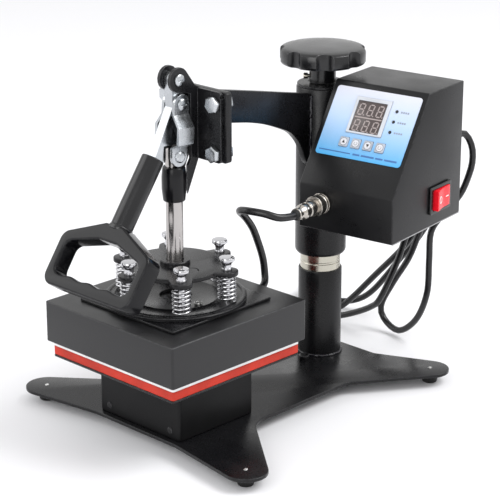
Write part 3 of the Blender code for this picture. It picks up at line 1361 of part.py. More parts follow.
def cable_gland():
    """The gland on the shell's back that takes the heater cable."""
    back = aim((0, 1, 0), (GLAND_X, SHELL_HALF, GLAND_UP))
    return Shape().turned([
        (0, -SHELL_WALL / 2), (GLAND_NUT, -SHELL_WALL / 2), (GLAND_NUT, GLAND_NUT_LONG),
        (GLAND_RADIUS, GLAND_NUT_LONG), (GLAND_RADIUS, GLAND_LONG - GLAND_NUT_LONG / 2),
        (GLAND_RADIUS - GLAND_NUT_LONG / 3, GLAND_LONG), (CABLE_RADIUS + GAP, GLAND_LONG),
        (CABLE_RADIUS + GAP, GLAND_NUT_LONG / 2), (0, GLAND_NUT_LONG / 2),
    ], SMALL_STEPS, back)


def dish_profile():
    """The pressed dish: a flat ring with ridges and a raised rim."""
    profile = [(DISH_BORE, DISH_LOW), (DISH_RADIUS, DISH_LOW), (DISH_RADIUS, DISH_TOP)]
    outer = DISH_RADIUS - DISH_RIM
    inner = POST_AT + SPRING_RADIUS + SPRING_WIRE
    pitch = (outer - inner) / DISH_RIDGES / 2
    profile.append((outer + DISH_RIM / 2, DISH_TOP + DISH_RIDGE))
    profile.append((outer, DISH_TOP + DISH_RIDGE))
    profile.append((outer - pitch, DISH_TOP))
    profile.append((DISH_BORE, DISH_TOP))
    return profile


def box_side():
    """The control box from the side, as (y, z) in the swing frame."""
    return [
        (-BOX_FRONT, BOX_LOW), (-BOX_FRONT, BOX_BEND), (-BOX_TOP_FRONT, BOX_TOP),
        (BOX_BACK, BOX_TOP), (BOX_BACK, BOX_LOW),
    ]


def box_inside():
    """The cover's hollow: its own sheet inside, open below and behind."""
    sheet = BOX_SHEET
    along = Vector((BOX_FRONT - BOX_TOP_FRONT, BOX_TOP - BOX_BEND)).normalized()
    bend_drop = sheet * math.tan((math.pi / 2 - math.atan2(along.y, along.x)) / 2)
    top_back = sheet * math.tan(math.atan2(along.y, along.x) / 2)
    return [
        (-BOX_FRONT + sheet, BOX_LOW - OVERRUN), (-BOX_FRONT + sheet, BOX_BEND - bend_drop),
        (-BOX_TOP_FRONT + top_back, BOX_TOP - sheet), (BOX_BACK + OVERRUN, BOX_TOP - sheet),
        (BOX_BACK + OVERRUN, BOX_LOW - OVERRUN),
    ]


def make_control_box(model, swing):
    """Cover, tray, pad plate and the works inside."""
    cover = model.node("box_cover", Shape().prism(box_side(), BOX_LEFT, BOX_RIGHT, "yz"),
                       "box_paint", swing)
    hollow = Shape().prism(box_inside(), BOX_LEFT + BOX_SHEET, BOX_RIGHT - BOX_SHEET, "yz")
    model.cut(cover, hollow)
    openings = Shape()
    panel = panel_matrix()
    deep = -BOX_SHEET - OVERRUN
    for outline in panel_openings():
        openings.prism(outline, deep, OVERRUN, "xy", panel)
    openings.block((BOX_RIGHT - BOX_SHEET - OVERRUN,
                    SWITCH_BEHIND - SWITCH_BODY_HALF_DEEP - GAP,
                    BOX_LOW + SWITCH_UP - SWITCH_BODY_HALF_TALL - GAP),
                   (BOX_RIGHT + OVERRUN, SWITCH_BEHIND + SWITCH_BODY_HALF_DEEP + GAP,
                    BOX_LOW + SWITCH_UP + SWITCH_BODY_HALF_TALL + GAP))
    socket = aim((0, -1, 0), (SOCKET_X, -BOX_FRONT, BOX_LOW + SOCKET_UP))
    openings.pillar(SOCKET_HOLE + SCREW_ROOM, -BOX_SHEET - OVERRUN, OVERRUN, SMALL_STEPS, socket)
    for up in pad_screw_ups():
        at = aim((1, 0, 0), (BOX_LEFT, 0, up))
        openings.pillar(PAD_SCREW_RADIUS + SCREW_ROOM, -OVERRUN, BOX_SHEET + OVERRUN,
                        SMALL_STEPS, at)
    model.cut(cover, openings)
    make_tray(model, swing)


def pad_screw_ups():
    """The heights of the two screws that hold the box."""
    middle = BOX_LOW + PAD_PLATE_UP + PAD_PLATE_TALL / 2
    return (middle - PAD_SCREW_RISE, middle + PAD_SCREW_RISE)


def make_tray(model, swing):
    """Bottom and back of the box in one bent sheet, and the board on it."""
    sheet = BOX_TRAY_SHEET
    room = BOX_SHEET + GAP
    outline = [
        (-BOX_FRONT + room, BOX_LOW), (-BOX_FRONT + room, BOX_LOW + sheet),
        (BOX_BACK - sheet, BOX_LOW + sheet), (BOX_BACK - sheet, BOX_TOP - room),
        (BOX_BACK, BOX_TOP - room), (BOX_BACK, BOX_LOW),
    ]
    tray = model.node("box_tray", Shape().prism(outline, BOX_LEFT + room, BOX_RIGHT - room, "yz"),
                      "box_paint", swing)
    holes = Shape()
    behind = aim((0, 1, 0), (RELIEF_LATERAL, BOX_BACK, BOX_LOW + RELIEF_UP))
    holes.pillar(RELIEF_RADIUS + SCREW_ROOM, -BOX_TRAY_SHEET - OVERRUN, OVERRUN,
                 SMALL_STEPS, behind)
    floor = BOX_LOW + sheet
    left = BOX_LEFT + BOX_SHEET + BOARD_INSET
    right = BOX_RIGHT - BOX_SHEET - SWITCH_BODY_DEEP - BOARD_INSET
    front = -BOX_FRONT + BOX_SHEET + SOCKET_TAIL_LONG + BOARD_INSET
    board_low = floor + BOARD_UNDER
    posts = Shape()
    for x in (left + BOARD_POST * 2, right - BOARD_POST * 2):
        for y in (front + BOARD_POST * 2, front + BOARD_LONG - BOARD_POST * 2):
            at = Matrix.Translation((x, y, 0))
            posts.pillar(BOARD_POST, floor - sheet / 2, board_low - GAP, TINY_STEPS, at)
    join(model, tray, posts)
    model.cut(tray, holes)
    board = Shape().block((left, front, board_low),
                          (right, front + BOARD_LONG, board_low + BOARD_THICK))
    board = model.node("control_board", board, "circuit", swing)
    relay = Shape().block(
        (left + RELAY_LEFT, front + RELAY_BACK, board_low + BOARD_THICK / 2),
        (left + RELAY_LEFT + RELAY_WIDE, front + RELAY_BACK + RELAY_DEEP,
         board_low + BOARD_THICK + RELAY_TALL))
    join(model, board, relay)


def panel_matrix():
    """The sloping face: +X right, +Y up the slope, +Z out of it."""
    return (Matrix.Translation((BOX_LEFT, -BOX_TOP_FRONT, BOX_TOP))
            @ Matrix.Rotation(PANEL_SLOPE, 4, "X"))


def key_places():
    """The four keys, left to right."""
    return [(KEY_FIRST + KEY_PITCH * index, -KEY_DOWN) for index in range(len(KEY_NAMES))]


def lamp_places():
    """The three lamps, top to bottom."""
    return [(LAMP_X, -LAMP_FIRST - LAMP_PITCH * index) for index in range(LAMP_COUNT)]


def frame_outline(grow):
    """The display's frame, grown by some room."""
    left, right = FRAME_LEFT - grow, FRAME_RIGHT + grow
    top, bottom = -FRAME_TOP + grow, -FRAME_BOTTOM - grow
    return [(left, bottom), (right, bottom), (right, top), (left, top)]


def window_outline():
    """The lit window inside the display's frame."""
    return [(WINDOW_LEFT, -WINDOW_BOTTOM), (WINDOW_RIGHT, -WINDOW_BOTTOM),
            (WINDOW_RIGHT, -WINDOW_TOP), (WINDOW_LEFT, -WINDOW_TOP)]


def panel_openings():
    """Outlines of every hole in the sloping face and its label."""
    outlines = [frame_outline(GAP)]
    for x, y in key_places():
        outlines.append(rounded_box(KEY_HALF + GAP, KEY_HALF + GAP, KEY_CORNER, 2, (x, y)))
    for place in lamp_places():
        outlines.append(arc_points(place, LAMP_RADIUS + SCREW_ROOM, 0, 2 * math.pi * 11 / 12, 11))
    return outlines


def make_panel(model, swing):
    """Label, display with its board and lamps, and keys on the sloping face."""
    panel = model.frame("panel_face", swing, (BOX_LEFT, -BOX_TOP_FRONT, BOX_TOP),
                        (PANEL_SLOPE, 0, 0))
    middle = ((LABEL_LEFT + LABEL_RIGHT) / 2, -(LABEL_TOP + LABEL_BOTTOM) / 2)
    sheet = rounded_box((LABEL_RIGHT - LABEL_LEFT) / 2, (LABEL_BOTTOM - LABEL_TOP) / 2,
                        LABEL_CORNER, 4, middle)
    label = model.node("panel_label", Shape().prism(sheet, LABEL_LOW, LABEL_HIGH),
                       "label_film", panel)
    holes = Shape()
    for outline in panel_openings():
        holes.prism(outline, LABEL_LOW - OVERRUN, LABEL_HIGH + OVERRUN)
    model.cut(label, holes)
    top = LABEL_HIGH + FRAME_PROUD
    module = Shape().prism(frame_outline(0), -WINDOW_DEEP - BOARD_THICK / 2, top)
    module = model.node("display_module", module, "display", panel)
    join(model, module, panel_board())
    model.cut(module, Shape().prism(window_outline(), top - WINDOW_SINK, top + OVERRUN))
    for name, place in zip(KEY_NAMES, key_places()):
        key_axis = model.frame(name + "_axis", panel, (*place, 0))
        cap = rounded_box(KEY_HALF, KEY_HALF, KEY_CORNER, 3)
        key = Shape().prism(cap, -KEY_DEEP, LABEL_HIGH + KEY_PROUD)
        model.node(name, key, "key_grey", key_axis)


def panel_board():
    """The board behind the panel, with a switch under every key, and the lamps."""
    low = -WINDOW_DEEP - BOARD_THICK
    high = -WINDOW_DEEP
    board = Shape().block((LABEL_LEFT + BOARD_INSET, -LABEL_BOTTOM + BOARD_INSET, low),
                          (LABEL_RIGHT - BOARD_INSET, -LABEL_TOP - BOARD_INSET, high))
    for x, y in key_places():
        board.pillar(KEY_HALF * KEY_SEAT_SHARE, high - BOARD_THICK / 2,
                     -KEY_DEEP - KEY_TRAVEL - GAP, TINY_STEPS, Matrix.Translation((x, y, 0)))
    lamp_top = LABEL_HIGH + LAMP_PROUD
    for x, y in lamp_places():
        board.turned([
            (0, high - BOARD_THICK / 2), (LAMP_RADIUS, high - BOARD_THICK / 2),
            (LAMP_RADIUS, LABEL_HIGH), (LAMP_RADIUS * HEAD_FLAT_SHARE, lamp_top), (0, lamp_top),
        ], TINY_STEPS, Matrix.Translation((x, y, 0)))
    return board


def make_switch(model, swing):
    """Mains rocker on the box's right side."""
    up = BOX_LOW + SWITCH_UP
    face = BOX_RIGHT + GAP
    outline = rounded_box(SWITCH_HALF_DEEP, SWITCH_HALF_TALL, SWITCH_WALL, 3, (SWITCH_BEHIND, up))
    body_low = BOX_RIGHT - SWITCH_BODY_DEEP
    flange = Shape().prism(outline, face, face + SWITCH_BEZEL_PROUD, "yz")
    frame = model.node("switch_body", flange, "black_plastic", swing)
    body = Shape().block(
        (body_low, SWITCH_BEHIND - SWITCH_BODY_HALF_DEEP, up - SWITCH_BODY_HALF_TALL),
        (face + SWITCH_BEZEL_PROUD / 2, SWITCH_BEHIND + SWITCH_BODY_HALF_DEEP,
         up + SWITCH_BODY_HALF_TALL))
    join(model, frame, body)
    room = SWITCH_WALL / 2
    pocket = Shape().block(
        (face + SWITCH_BEZEL_PROUD - ROCKER_SINK - ROCKER_PROUD, SWITCH_BEHIND - ROCKER_HALF_DEEP
         - room, up - ROCKER_HALF_TALL - GAP),
        (face + SWITCH_BEZEL_PROUD + OVERRUN, SWITCH_BEHIND + ROCKER_HALF_DEEP + room,
         up + ROCKER_HALF_TALL + GAP))
    model.cut(frame, pocket)
    pivot = model.frame("rocker_axis", swing, (face, SWITCH_BEHIND, up), (0, 0, ROCKER_ANGLE))
    dip = ROCKER_PROUD * ROCKER_DIP_SHARE
    rocker = [
        (-ROCKER_SINK + SWITCH_BEZEL_PROUD, -ROCKER_HALF_DEEP * ROCKER_FOOT_SHARE),
        (SWITCH_BEZEL_PROUD + ROCKER_PROUD, -ROCKER_HALF_DEEP),
        (SWITCH_BEZEL_PROUD + ROCKER_PROUD - dip, 0),
        (SWITCH_BEZEL_PROUD + ROCKER_PROUD, ROCKER_HALF_DEEP),
        (-ROCKER_SINK + SWITCH_BEZEL_PROUD, ROCKER_HALF_DEEP * ROCKER_FOOT_SHARE),
    ]
    model.node("power_rocker", Shape().prism(rocker, -ROCKER_HALF_TALL, ROCKER_HALF_TALL),
               "rocker_red", pivot)


def make_heater_lead(model, swing):
    """Socket on the box, plug, coupling ring and the cable to the platen."""
    out = aim((0, -1, 0), (SOCKET_X, -BOX_FRONT, BOX_LOW + SOCKET_UP))
    bore = SOCKET_BORE
    nose_end = SOCKET_FLANGE_TALL + SOCKET_NOSE_LONG
    socket = Shape().turned([
        (0, -BOX_SHEET - SOCKET_TAIL_LONG), (SOCKET_HOLE, -BOX_SHEET - SOCKET_TAIL_LONG),
        (SOCKET_HOLE, GAP), (SOCKET_FLANGE, GAP), (SOCKET_FLANGE, SOCKET_FLANGE_TALL),
        (SOCKET_NOSE, SOCKET_FLANGE_TALL), (SOCKET_NOSE, nose_end), (bore, nose_end),
        (bore, SOCKET_FLANGE_TALL), (0, SOCKET_FLANGE_TALL),
    ], ROUND_STEPS, out)
    model.node("heater_socket", socket, "chrome", swing)
    ring_low = SOCKET_FLANGE_TALL + GAP
    ring_end = ring_low + RING_LONG
    body_low = nose_end + GAP
    body_end = body_low + PLUG_BODY_LONG
    tail_end = body_end + PLUG_TAIL_LONG
    plug = Shape().turned([
        (0, body_low - SOCKET_NOSE_LONG / 2), (bore - GAP, body_low - SOCKET_NOSE_LONG / 2),
        (bore - GAP, body_low), (SOCKET_NOSE + GAP, body_low), (SOCKET_NOSE + GAP, ring_low),
        (RING_RADIUS, ring_low), (RING_RADIUS, ring_end), (PLUG_BODY_RADIUS, ring_end),
        (PLUG_BODY_RADIUS, body_end), (PLUG_TAIL_RADIUS, body_end + PLUG_TAIL_LONG / 3),
        (PLUG_TAIL_RADIUS, tail_end), (0, tail_end),
    ], ROUND_STEPS, out)
    model.node("heater_plug", plug, "chrome", swing)
    start = swing_to_floor(out @ Vector((0, 0, tail_end + GAP)))
    heading = swing_heading(Vector((0, -1, 0)))
    gland_mouth = Vector((GLAND_X, SHELL_HALF + GLAND_NUT_LONG / 2 + GAP, GLAND_UP))
    end_heading = Vector((0, -1, 0))
    route = [start, start + heading * CABLE_RADIUS * 2]
    route += [Vector(point) for point in CABLE_ROUTE]
    route += [gland_mouth - end_heading * (GLAND_LONG + CABLE_RADIUS), gland_mouth]
    path = smooth_route(route, CABLE_STEP)
    model.tube("heater_cable", path, CABLE_RADIUS, 2, "cable_jacket")
    report_cord("heater cable", path, 2 * CABLE_RADIUS)


def swing_to_floor(point):
    """A point of the swing frame, in the bed's frame."""
    turn = Matrix.Rotation(SWING_ANGLE, 4, "Z")
    return Matrix.Translation((COLUMN_X, COLUMN_BEHIND, 0)) @ turn @ Vector(point)


def swing_heading(direction):
    """A direction of the swing frame, in the bed's frame."""
    return Matrix.Rotation(SWING_ANGLE, 3, "Z") @ Vector(direction)


def smooth_route(route, step):
    """A straight first and last stretch, and even points on a smooth curve between."""
    points = [Vector(point) for point in route]
    dense = []
    parts = 12
    for index in range(1, len(points) - 2):
        a, b, c, d = points[index - 1:index + 3]
        for part in range(parts):
            t = part / parts
            dense.append(0.5 * ((2 * b) + (c - a) * t + (2 * a - 5 * b + 4 * c - d) * t ** 2
                                + (3 * b - a - 3 * c + d) * t ** 3))
    dense.append(points[-2])
    lengths = [0.0]
    for first, second in zip(dense, dense[1:]):
        lengths.append(lengths[-1] + (second - first).length)
    count = max(2, round(lengths[-1] / step))
    path = [points[0]]
    index = 0
    for number in range(count + 1):
        target = lengths[-1] * number / count
        while index < len(lengths) - 2 and lengths[index + 1] < target:
            index += 1
        share = (target - lengths[index]) / (lengths[index + 1] - lengths[index])
        path.append(dense[index].lerp(dense[index + 1], min(1.0, share)))
    return path + [points[-1]]


def report_cord(name, path, thick):
    """Print a cord's length and its least gap to itself."""
    total = sum((Vector(b) - Vector(a)).length for a, b in zip(path, path[1:]))
    gap = least_gap(path, thick)
    print(name, "points", len(path), "length mm", round(total / MILLI),
          "least gap mm", round(gap / MILLI, 2))


def make_mains_lead(model, swing):
    """Strain relief on the box's back, the cord and its plug."""
    out = aim((0, 1, 0), (RELIEF_LATERAL, BOX_BACK, BOX_LOW + RELIEF_UP))
    bore = CORD_RADIUS + GAP
    relief = Shape().turned([
        (bore, -BOX_TRAY_SHEET * 2), (RELIEF_RADIUS, -BOX_TRAY_SHEET * 2), (RELIEF_RADIUS, GAP),
        (RELIEF_FLANGE, GAP), (RELIEF_FLANGE, RELIEF_FLANGE_TALL),
        (RELIEF_RADIUS, RELIEF_FLANGE_TALL), (RELIEF_TIP_RADIUS, RELIEF_LONG), (bore, RELIEF_LONG),
    ], SMALL_STEPS, out)
    model.node("strain_relief", relief, "rubber", swing)
    start = swing_to_floor(out @ Vector((0, 0, 0)))
    heading = swing_heading(Vector((0, 1, 0)))
    end = Vector(CORD_END)
    end_heading = Vector(CORD_END_HEADING).normalized()
    route = [start, start + heading * (RELIEF_LONG + CORD_RADIUS)]
    route += [Vector(point) for point in CORD_ROUTE]
    route += [end - end_heading * CORD_RADIUS * 2, end]
    path = smooth_route(route, CORD_STEP)
    model.tube("mains_cord", path, CORD_RADIUS, 2, "cable_jacket")
    report_cord("mains cord", path, 2 * CORD_RADIUS)
    at = aim(end_heading, end + end_heading * GAP)
    neck = MAINS_PLUG_NECK
    shoulder = MAINS_PLUG_NECK_LONG
    plug = Shape().prism([
        (-neck, 0), (neck, 0), (MAINS_PLUG_HALF_WIDE, shoulder),
        (MAINS_PLUG_HALF_WIDE, MAINS_PLUG_LONG), (-MAINS_PLUG_HALF_WIDE, MAINS_PLUG_LONG),
        (-MAINS_PLUG_HALF_WIDE, shoulder),
    ], -MAINS_PLUG_HALF_TALL, MAINS_PLUG_HALF_TALL, "xz")
    plug_frame = model.frame("mains_plug_axis", model.root)
    plug_frame.matrix_local = at
    plug = model.node("mains_plug", plug, "black_plastic", plug_frame)
    model.soften(plug, MAINS_PLUG_EDGE)
    blades = Shape()
    for side in (-1, 1):
        x = side * BLADE_HALF_PITCH
        blades.block((x - BLADE_THICK / 2, -BLADE_TALL / 2, MAINS_PLUG_LONG - BLADE_ROOT),
                     (x + BLADE_THICK / 2, BLADE_TALL / 2, MAINS_PLUG_LONG + BLADE_LONG))
    join(model, plug, blades)


def settle_origin(model):
    """Put the origin on the floor under the middle of the machine, cords left out."""
    bpy.context.view_layer.update()
    graph = bpy.context.evaluated_depsgraph_get()
    left_out = ("heater_cable", "mains_cord", "mains_plug")
    xs = []
    ys = []
    for obj in bpy.context.scene.objects:
        if obj.type not in ("MESH", "CURVE") or obj.hide_render or obj.name in left_out:
            continue
        shown = obj.evaluated_get(graph)
        mesh = shown.to_mesh()
        for vertex in mesh.vertices:
            place = shown.matrix_world @ vertex.co
            xs.append(place.x)
            ys.append(place.y)
        shown.to_mesh_clear()
    model.root.location = (-(min(xs) + max(xs)) / 2, -(min(ys) + max(ys)) / 2, 0)
    bpy.context.view_layer.update()
    print("machine origin moved by, mm:", [round(value / MILLI, 3) for value in
                                           model.root.location])


def main():
    """Build every piece in its place."""
    clear_scene()
    model = Model()
    bed = model.frame("bed_axis", model.root)
    column = model.frame("column_axis", model.root, (COLUMN_X, COLUMN_BEHIND, 0))
    swing = model.frame("swing_axis", column, (0, 0, 0), (0, 0, SWING_ANGLE))
    make_base(model)
    make_bed(model)
    make_column(model, column)
    make_sleeve(model, swing)
    make_knob(model, column)
    make_arm(model, swing)
    make_mount(model, bed)
    make_bracket(model, bed)
    make_lever(model, bed)
    make_link(model, bed)
    make_plunger(model, bed)
    make_springs(model, bed)
    make_platen(model, bed)
    make_control_box(model, swing)
    make_panel(model, swing)
    make_switch(model, swing)
    make_heater_lead(model, swing)
    make_mains_lead(model, swing)
    settle_origin(model)


main()
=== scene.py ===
"""Looks of the rotary heat press: its finishes, smooth pieces, light and camera.

Lengths are metres. BED is the frame under the bed's centre, SWING turns with the
head about the column, PANEL lies on the sloping face of the control box and HANDLE
runs along the lever's tube. A piece is made in one of these frames, and its place is
then written into its mesh.
"""

import logging
import math
from dataclasses import dataclass
from enum import Enum
from typing import Callable, Optional, Sequence

import bmesh
import bpy
from mathutils import Matrix, Vector, noise


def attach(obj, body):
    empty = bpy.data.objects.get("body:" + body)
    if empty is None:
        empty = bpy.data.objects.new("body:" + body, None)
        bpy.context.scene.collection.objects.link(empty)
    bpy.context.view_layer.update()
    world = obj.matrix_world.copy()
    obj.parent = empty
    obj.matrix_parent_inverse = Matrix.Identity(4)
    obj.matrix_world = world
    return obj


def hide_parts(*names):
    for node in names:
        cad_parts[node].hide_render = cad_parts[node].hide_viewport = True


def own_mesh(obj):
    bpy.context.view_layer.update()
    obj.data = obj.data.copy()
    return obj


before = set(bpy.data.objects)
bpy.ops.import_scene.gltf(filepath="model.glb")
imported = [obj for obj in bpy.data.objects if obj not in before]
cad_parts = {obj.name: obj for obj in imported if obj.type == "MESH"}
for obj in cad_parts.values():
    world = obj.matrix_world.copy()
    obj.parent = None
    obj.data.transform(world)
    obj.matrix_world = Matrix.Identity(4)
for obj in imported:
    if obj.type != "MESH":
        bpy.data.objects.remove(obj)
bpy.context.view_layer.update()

LOG = logging.getLogger("heat_press")

Pair = tuple[float, float]
Colour = tuple[float, float, float]
Point = tuple[float, float, float]
Outline = tuple[Pair, ...]

GAP = 0.0003
OVERRUN = 0.002
RIPPLE_SEED = 7
TOUCHING = 1e-6
FULL_TURN = 2 * math.pi
FINE = 72
MEDIUM = 48
COARSE = 32
HEXAGON = 6
SMOOTH_ANGLE = math.radians(32)
BEVEL_ANGLE = math.radians(28)

BED_AT = (0, -0.080366, 0)
COLUMN_AT = (-0.0090, 0.1940, 0)
HEAD_TURN = math.radians(8.8)
BOX_LEFT = 0.0270
BOX_FRONT = 0.0762
BOX_TOP_FRONT = 0.0189
BOX_BEND = 0.2010
BOX_TOP = 0.2827
PANEL_SLOPE = math.atan2(BOX_TOP - BOX_BEND, BOX_FRONT - BOX_TOP_FRONT)
HANDLE_AT = (0, -0.0232, 0.2472)
HANDLE_LEAN = math.radians(54.6) - math.pi / 2

BED = Matrix.Translation(BED_AT)
COLUMN = BED @ Matrix.Translation(COLUMN_AT)
SWING = COLUMN @ Matrix.Rotation(HEAD_TURN, 4, "Z")
PANEL = (SWING @ Matrix.Translation((BOX_LEFT, -BOX_TOP_FRONT, BOX_TOP))
         @ Matrix.Rotation(PANEL_SLOPE, 4, "X"))
HANDLE = BED @ Matrix.Translation(HANDLE_AT) @ Matrix.Rotation(HANDLE_LEAN, 4, "X")


class Plane(Enum):
    """The two axes that an outline's numbers run along; the third is its thickness."""

    FLOOR = (0, 1, 2)
    FRONT = (0, 2, 1)
    SIDE = (1, 2, 0)


class Edge(Enum):
    """How far back an edge is rounded, and by how many flats."""

    HAIR = (0.0001, 2)
    GROOVE = (0.00012, 2)
    SMALL = (0.0002, 2)
    TURNED = (0.0003, 2)
    MOULDED = (0.0003, 3)
    PRESSED = (0.0004, 3)
    SAWN = (0.0005, 2)
    PUNCHED = (0.0005, 3)
    SHEARED = (0.0006, 3)
    ROCKER = (0.0006, 4)
    PLATE = (0.0007, 3)
    FOLDED = (0.0010, 3)
    DRAWN = (0.0010, 4)
    ROUND = (0.0011, 4)
    PLUG = (0.0016, 4)
    GRIP = (0.0024, 5)
    WOOL = (0.0050, 5)


def deselect() -> None:
    """Leave edit mode and select nothing."""
    if bpy.context.object and bpy.context.object.mode != "OBJECT":
        bpy.ops.object.mode_set(mode="OBJECT")
    bpy.ops.object.select_all(action="DESELECT")


def pick(obj: bpy.types.Object) -> None:
    """Select one object alone."""
    deselect()
    obj.select_set(True)
    bpy.context.view_layer.objects.active = obj


def modify(obj: bpy.types.Object, kind: str, **settings: object) -> None:
    """Add a modifier, set it and apply it."""
    pick(obj)
    bpy.ops.object.modifier_add(type=kind)
    modifier = obj.modifiers[-1]
    for name, value in settings.items():
        setattr(modifier, name, value)
    bpy.ops.object.modifier_apply(modifier=modifier.name)


def soften(obj: bpy.types.Object, edge: Edge) -> bpy.types.Object:
    """Round every sharp edge of a piece, and return it."""
    width, segments = edge.value
    modify(obj, "BEVEL", width=width, segments=segments, limit_method="ANGLE",
           angle_limit=BEVEL_ANGLE, use_clamp_overlap=True)
    return obj


def smooth(obj: bpy.types.Object) -> bpy.types.Object:
    """Shade a piece smooth up to its sharp edges, and return it."""
    pick(obj)
    bpy.ops.object.shade_smooth_by_angle(angle=SMOOTH_ANGLE)
    return obj


def settle(obj: bpy.types.Object, place: Matrix) -> bpy.types.Object:
    """Write a piece's place into its mesh."""
    pick(obj)
    obj.matrix_world = place @ obj.matrix_world
    bpy.ops.object.transform_apply(location=True, rotation=True, scale=True)
    return obj


def slab(name: str, outline: Sequence[Pair], low: float, high: float,
         plane: Plane = Plane.FLOOR, place: Optional[Matrix] = None) -> bpy.types.Object:
    """Extrude an outline into a closed plate.

    Args:
        name: the piece's name.
        outline: its corners in order.
        low: where the plate starts along the third axis.
        high: where it ends.
        plane: the axes that the outline runs along.
        place: the frame that it is made in.

    Returns:
        The new piece.
    """
    deselect()
    bpy.ops.mesh.primitive_circle_add(vertices=len(outline), radius=1, fill_type="NGON")
    obj = bpy.context.object
    obj.name = name
    across, along, through = plane.value
    bpy.ops.object.mode_set(mode="EDIT")
    mesh = bmesh.from_edit_mesh(obj.data)
    for vert, (first, second) in zip(mesh.verts, outline):
        spot = [0.0, 0.0, 0.0]
        spot[across], spot[along], spot[through] = first, second, low
        vert.co = spot
    bmesh.update_edit_mesh(obj.data)
    bpy.ops.mesh.select_all(action="SELECT")
    step = [0.0, 0.0, 0.0]
    step[through] = high - low
    bpy.ops.mesh.extrude_region_move(TRANSFORM_OT_translate={"value": step})
    close_up()
    return settle(obj, place or Matrix())


def close_up() -> None:
    """Turn the faces of the mesh being edited outwards, and leave edit mode."""
    bpy.ops.mesh.select_all(action="SELECT")
    bpy.ops.mesh.normals_make_consistent(inside=False)
    bpy.ops.object.mode_set(mode="OBJECT")


def turned(name: str, profile: Sequence[Pair], place: Optional[Matrix] = None,
           steps: int = FINE, reach: Optional[Callable[[float], float]] = None
           ) -> bpy.types.Object:
    """Draw a disc up and in or out, ring by ring, as on a lathe.

    Args:
        name: the piece's name.
        profile: (radius, height) of each ring, none of radius zero.
        place: the frame whose +Z is the axis.
        steps: corners round the axis.
        reach: a share of the radius by angle, for a lobed piece.

    Returns:
        The new closed piece.
    """
    radius, height = profile[0]
    deselect()
    bpy.ops.mesh.primitive_circle_add(vertices=steps, radius=radius, fill_type="NGON")
    obj = bpy.context.object
    obj.name = name
    bpy.ops.object.mode_set(mode="EDIT")
    mesh = bmesh.from_edit_mesh(obj.data)
    for vert in mesh.verts:
        share = reach(math.atan2(vert.co.y, vert.co.x)) if reach else 1.0
        vert.co = (vert.co.x * share, vert.co.y * share, height)
    bmesh.update_edit_mesh(obj.data)
    bpy.ops.mesh.select_all(action="SELECT")
    for next_radius, next_height in profile[1:]:
        rise = (0, 0, next_height - height)
        bpy.ops.mesh.extrude_region_move(TRANSFORM_OT_translate={"value": rise})
        share = next_radius / radius
        bpy.ops.transform.resize(value=(share, share, 1), center_override=(0, 0, next_height))
        radius, height = next_radius, next_height
    close_up()
    return settle(obj, place or Matrix())


def discard(*pieces: bpy.types.Object) -> None:
    """Remove pieces that were only patterns or cutters."""
    for piece in pieces:
        bpy.data.objects.remove(piece, do_unlink=True)


def combine(obj: bpy.types.Object, other: bpy.types.Object, operation: str) -> bpy.types.Object:
    """Cut, weld or trim one piece by another, which goes."""
    modify(obj, "BOOLEAN", object=other, operation=operation, solver="EXACT")
    discard(other)
    return obj


def twin(obj: bpy.types.Object, name: str, place: Matrix) -> bpy.types.Object:
    """Copy a piece with its own mesh."""
    other = obj.copy()
    other.data = obj.data.copy()
    other.name = name
    bpy.context.scene.collection.objects.link(other)
    return settle(other, place)


def rounded(corners: Sequence[Point], steps: int = 8) -> list[Pair]:
    """Turn corners into arcs.

    Args:
        corners: (x, y, radius) of each corner.
        steps: flats on each arc.

    Returns:
        The outline.
    """
    points = []
    for index, (x, y, radius) in enumerate(corners):
        here = Vector((x, y))
        if radius <= 0:
            points.append((x, y))
            continue
        back = (Vector(corners[index - 1][:2]) - here).normalized()
        ahead = (Vector(corners[(index + 1) % len(corners)][:2]) - here).normalized()
        half = back.angle(ahead) / 2
        centre = here + (back + ahead).normalized() * (radius / math.sin(half))
        start = here + back * (radius / math.tan(half)) - centre
        sweep = start.angle_signed(here + ahead * (radius / math.tan(half)) - centre)
        for step in range(steps + 1):
            point = centre + Matrix.Rotation(-sweep * step / steps, 2) @ start
            points.append((point.x, point.y))
    return points


def rectangle(left: float, right: float, low: float, high: float) -> list[Pair]:
    """The corners of a rectangle, in order."""
    return [(left, low), (right, low), (right, high), (left, high)]


def rounded_box(half_x: float, half_y: float, radius: float, middle: Pair = (0, 0)
                ) -> list[Pair]:
    """Outline a rectangle with round corners."""
    x, y = middle
    corners = rectangle(x - half_x, x + half_x, y - half_y, y + half_y)
    return rounded([(*corner, radius) for corner in corners])


def arc(centre: Pair, radius: float, start: float, end: float, steps: int) -> list[Pair]:
    """Points on an arc, both ends included."""
    return [(centre[0] + radius * math.cos(start + (end - start) * step / steps),
             centre[1] + radius * math.sin(start + (end - start) * step / steps))
            for step in range(steps + 1)]


def level_arc(radius: float, height: float, start: float, end: float, steps: int,
              stretch: float = 1.0) -> list[Vector]:
    """Points on a level arc about +Z, both ends included."""
    return [Vector((x, y * stretch, height))
            for x, y in arc((0, 0), radius, start, end, steps)]


def wrap_round(before: Pair, centre: Pair, radius: float, after: Pair) -> list[Pair]:
    """The arc that a taut outline makes round a circle.

    Args:
        before: the corner that it comes from.
        centre: the circle's centre.
        radius: the circle's radius.
        after: the corner that it goes to.

    Returns:
        The arc's points.
    """
    arrive = Vector(centre) - Vector(before)
    leave = Vector(after) - Vector(centre)
    start = math.atan2(arrive.y, arrive.x) - math.asin(radius / arrive.length) - math.pi / 2
    end = math.atan2(leave.y, leave.x) + math.asin(radius / leave.length) - math.pi / 2
    while end < start:
        end += FULL_TURN
    return arc(centre, radius, start, end, COARSE)


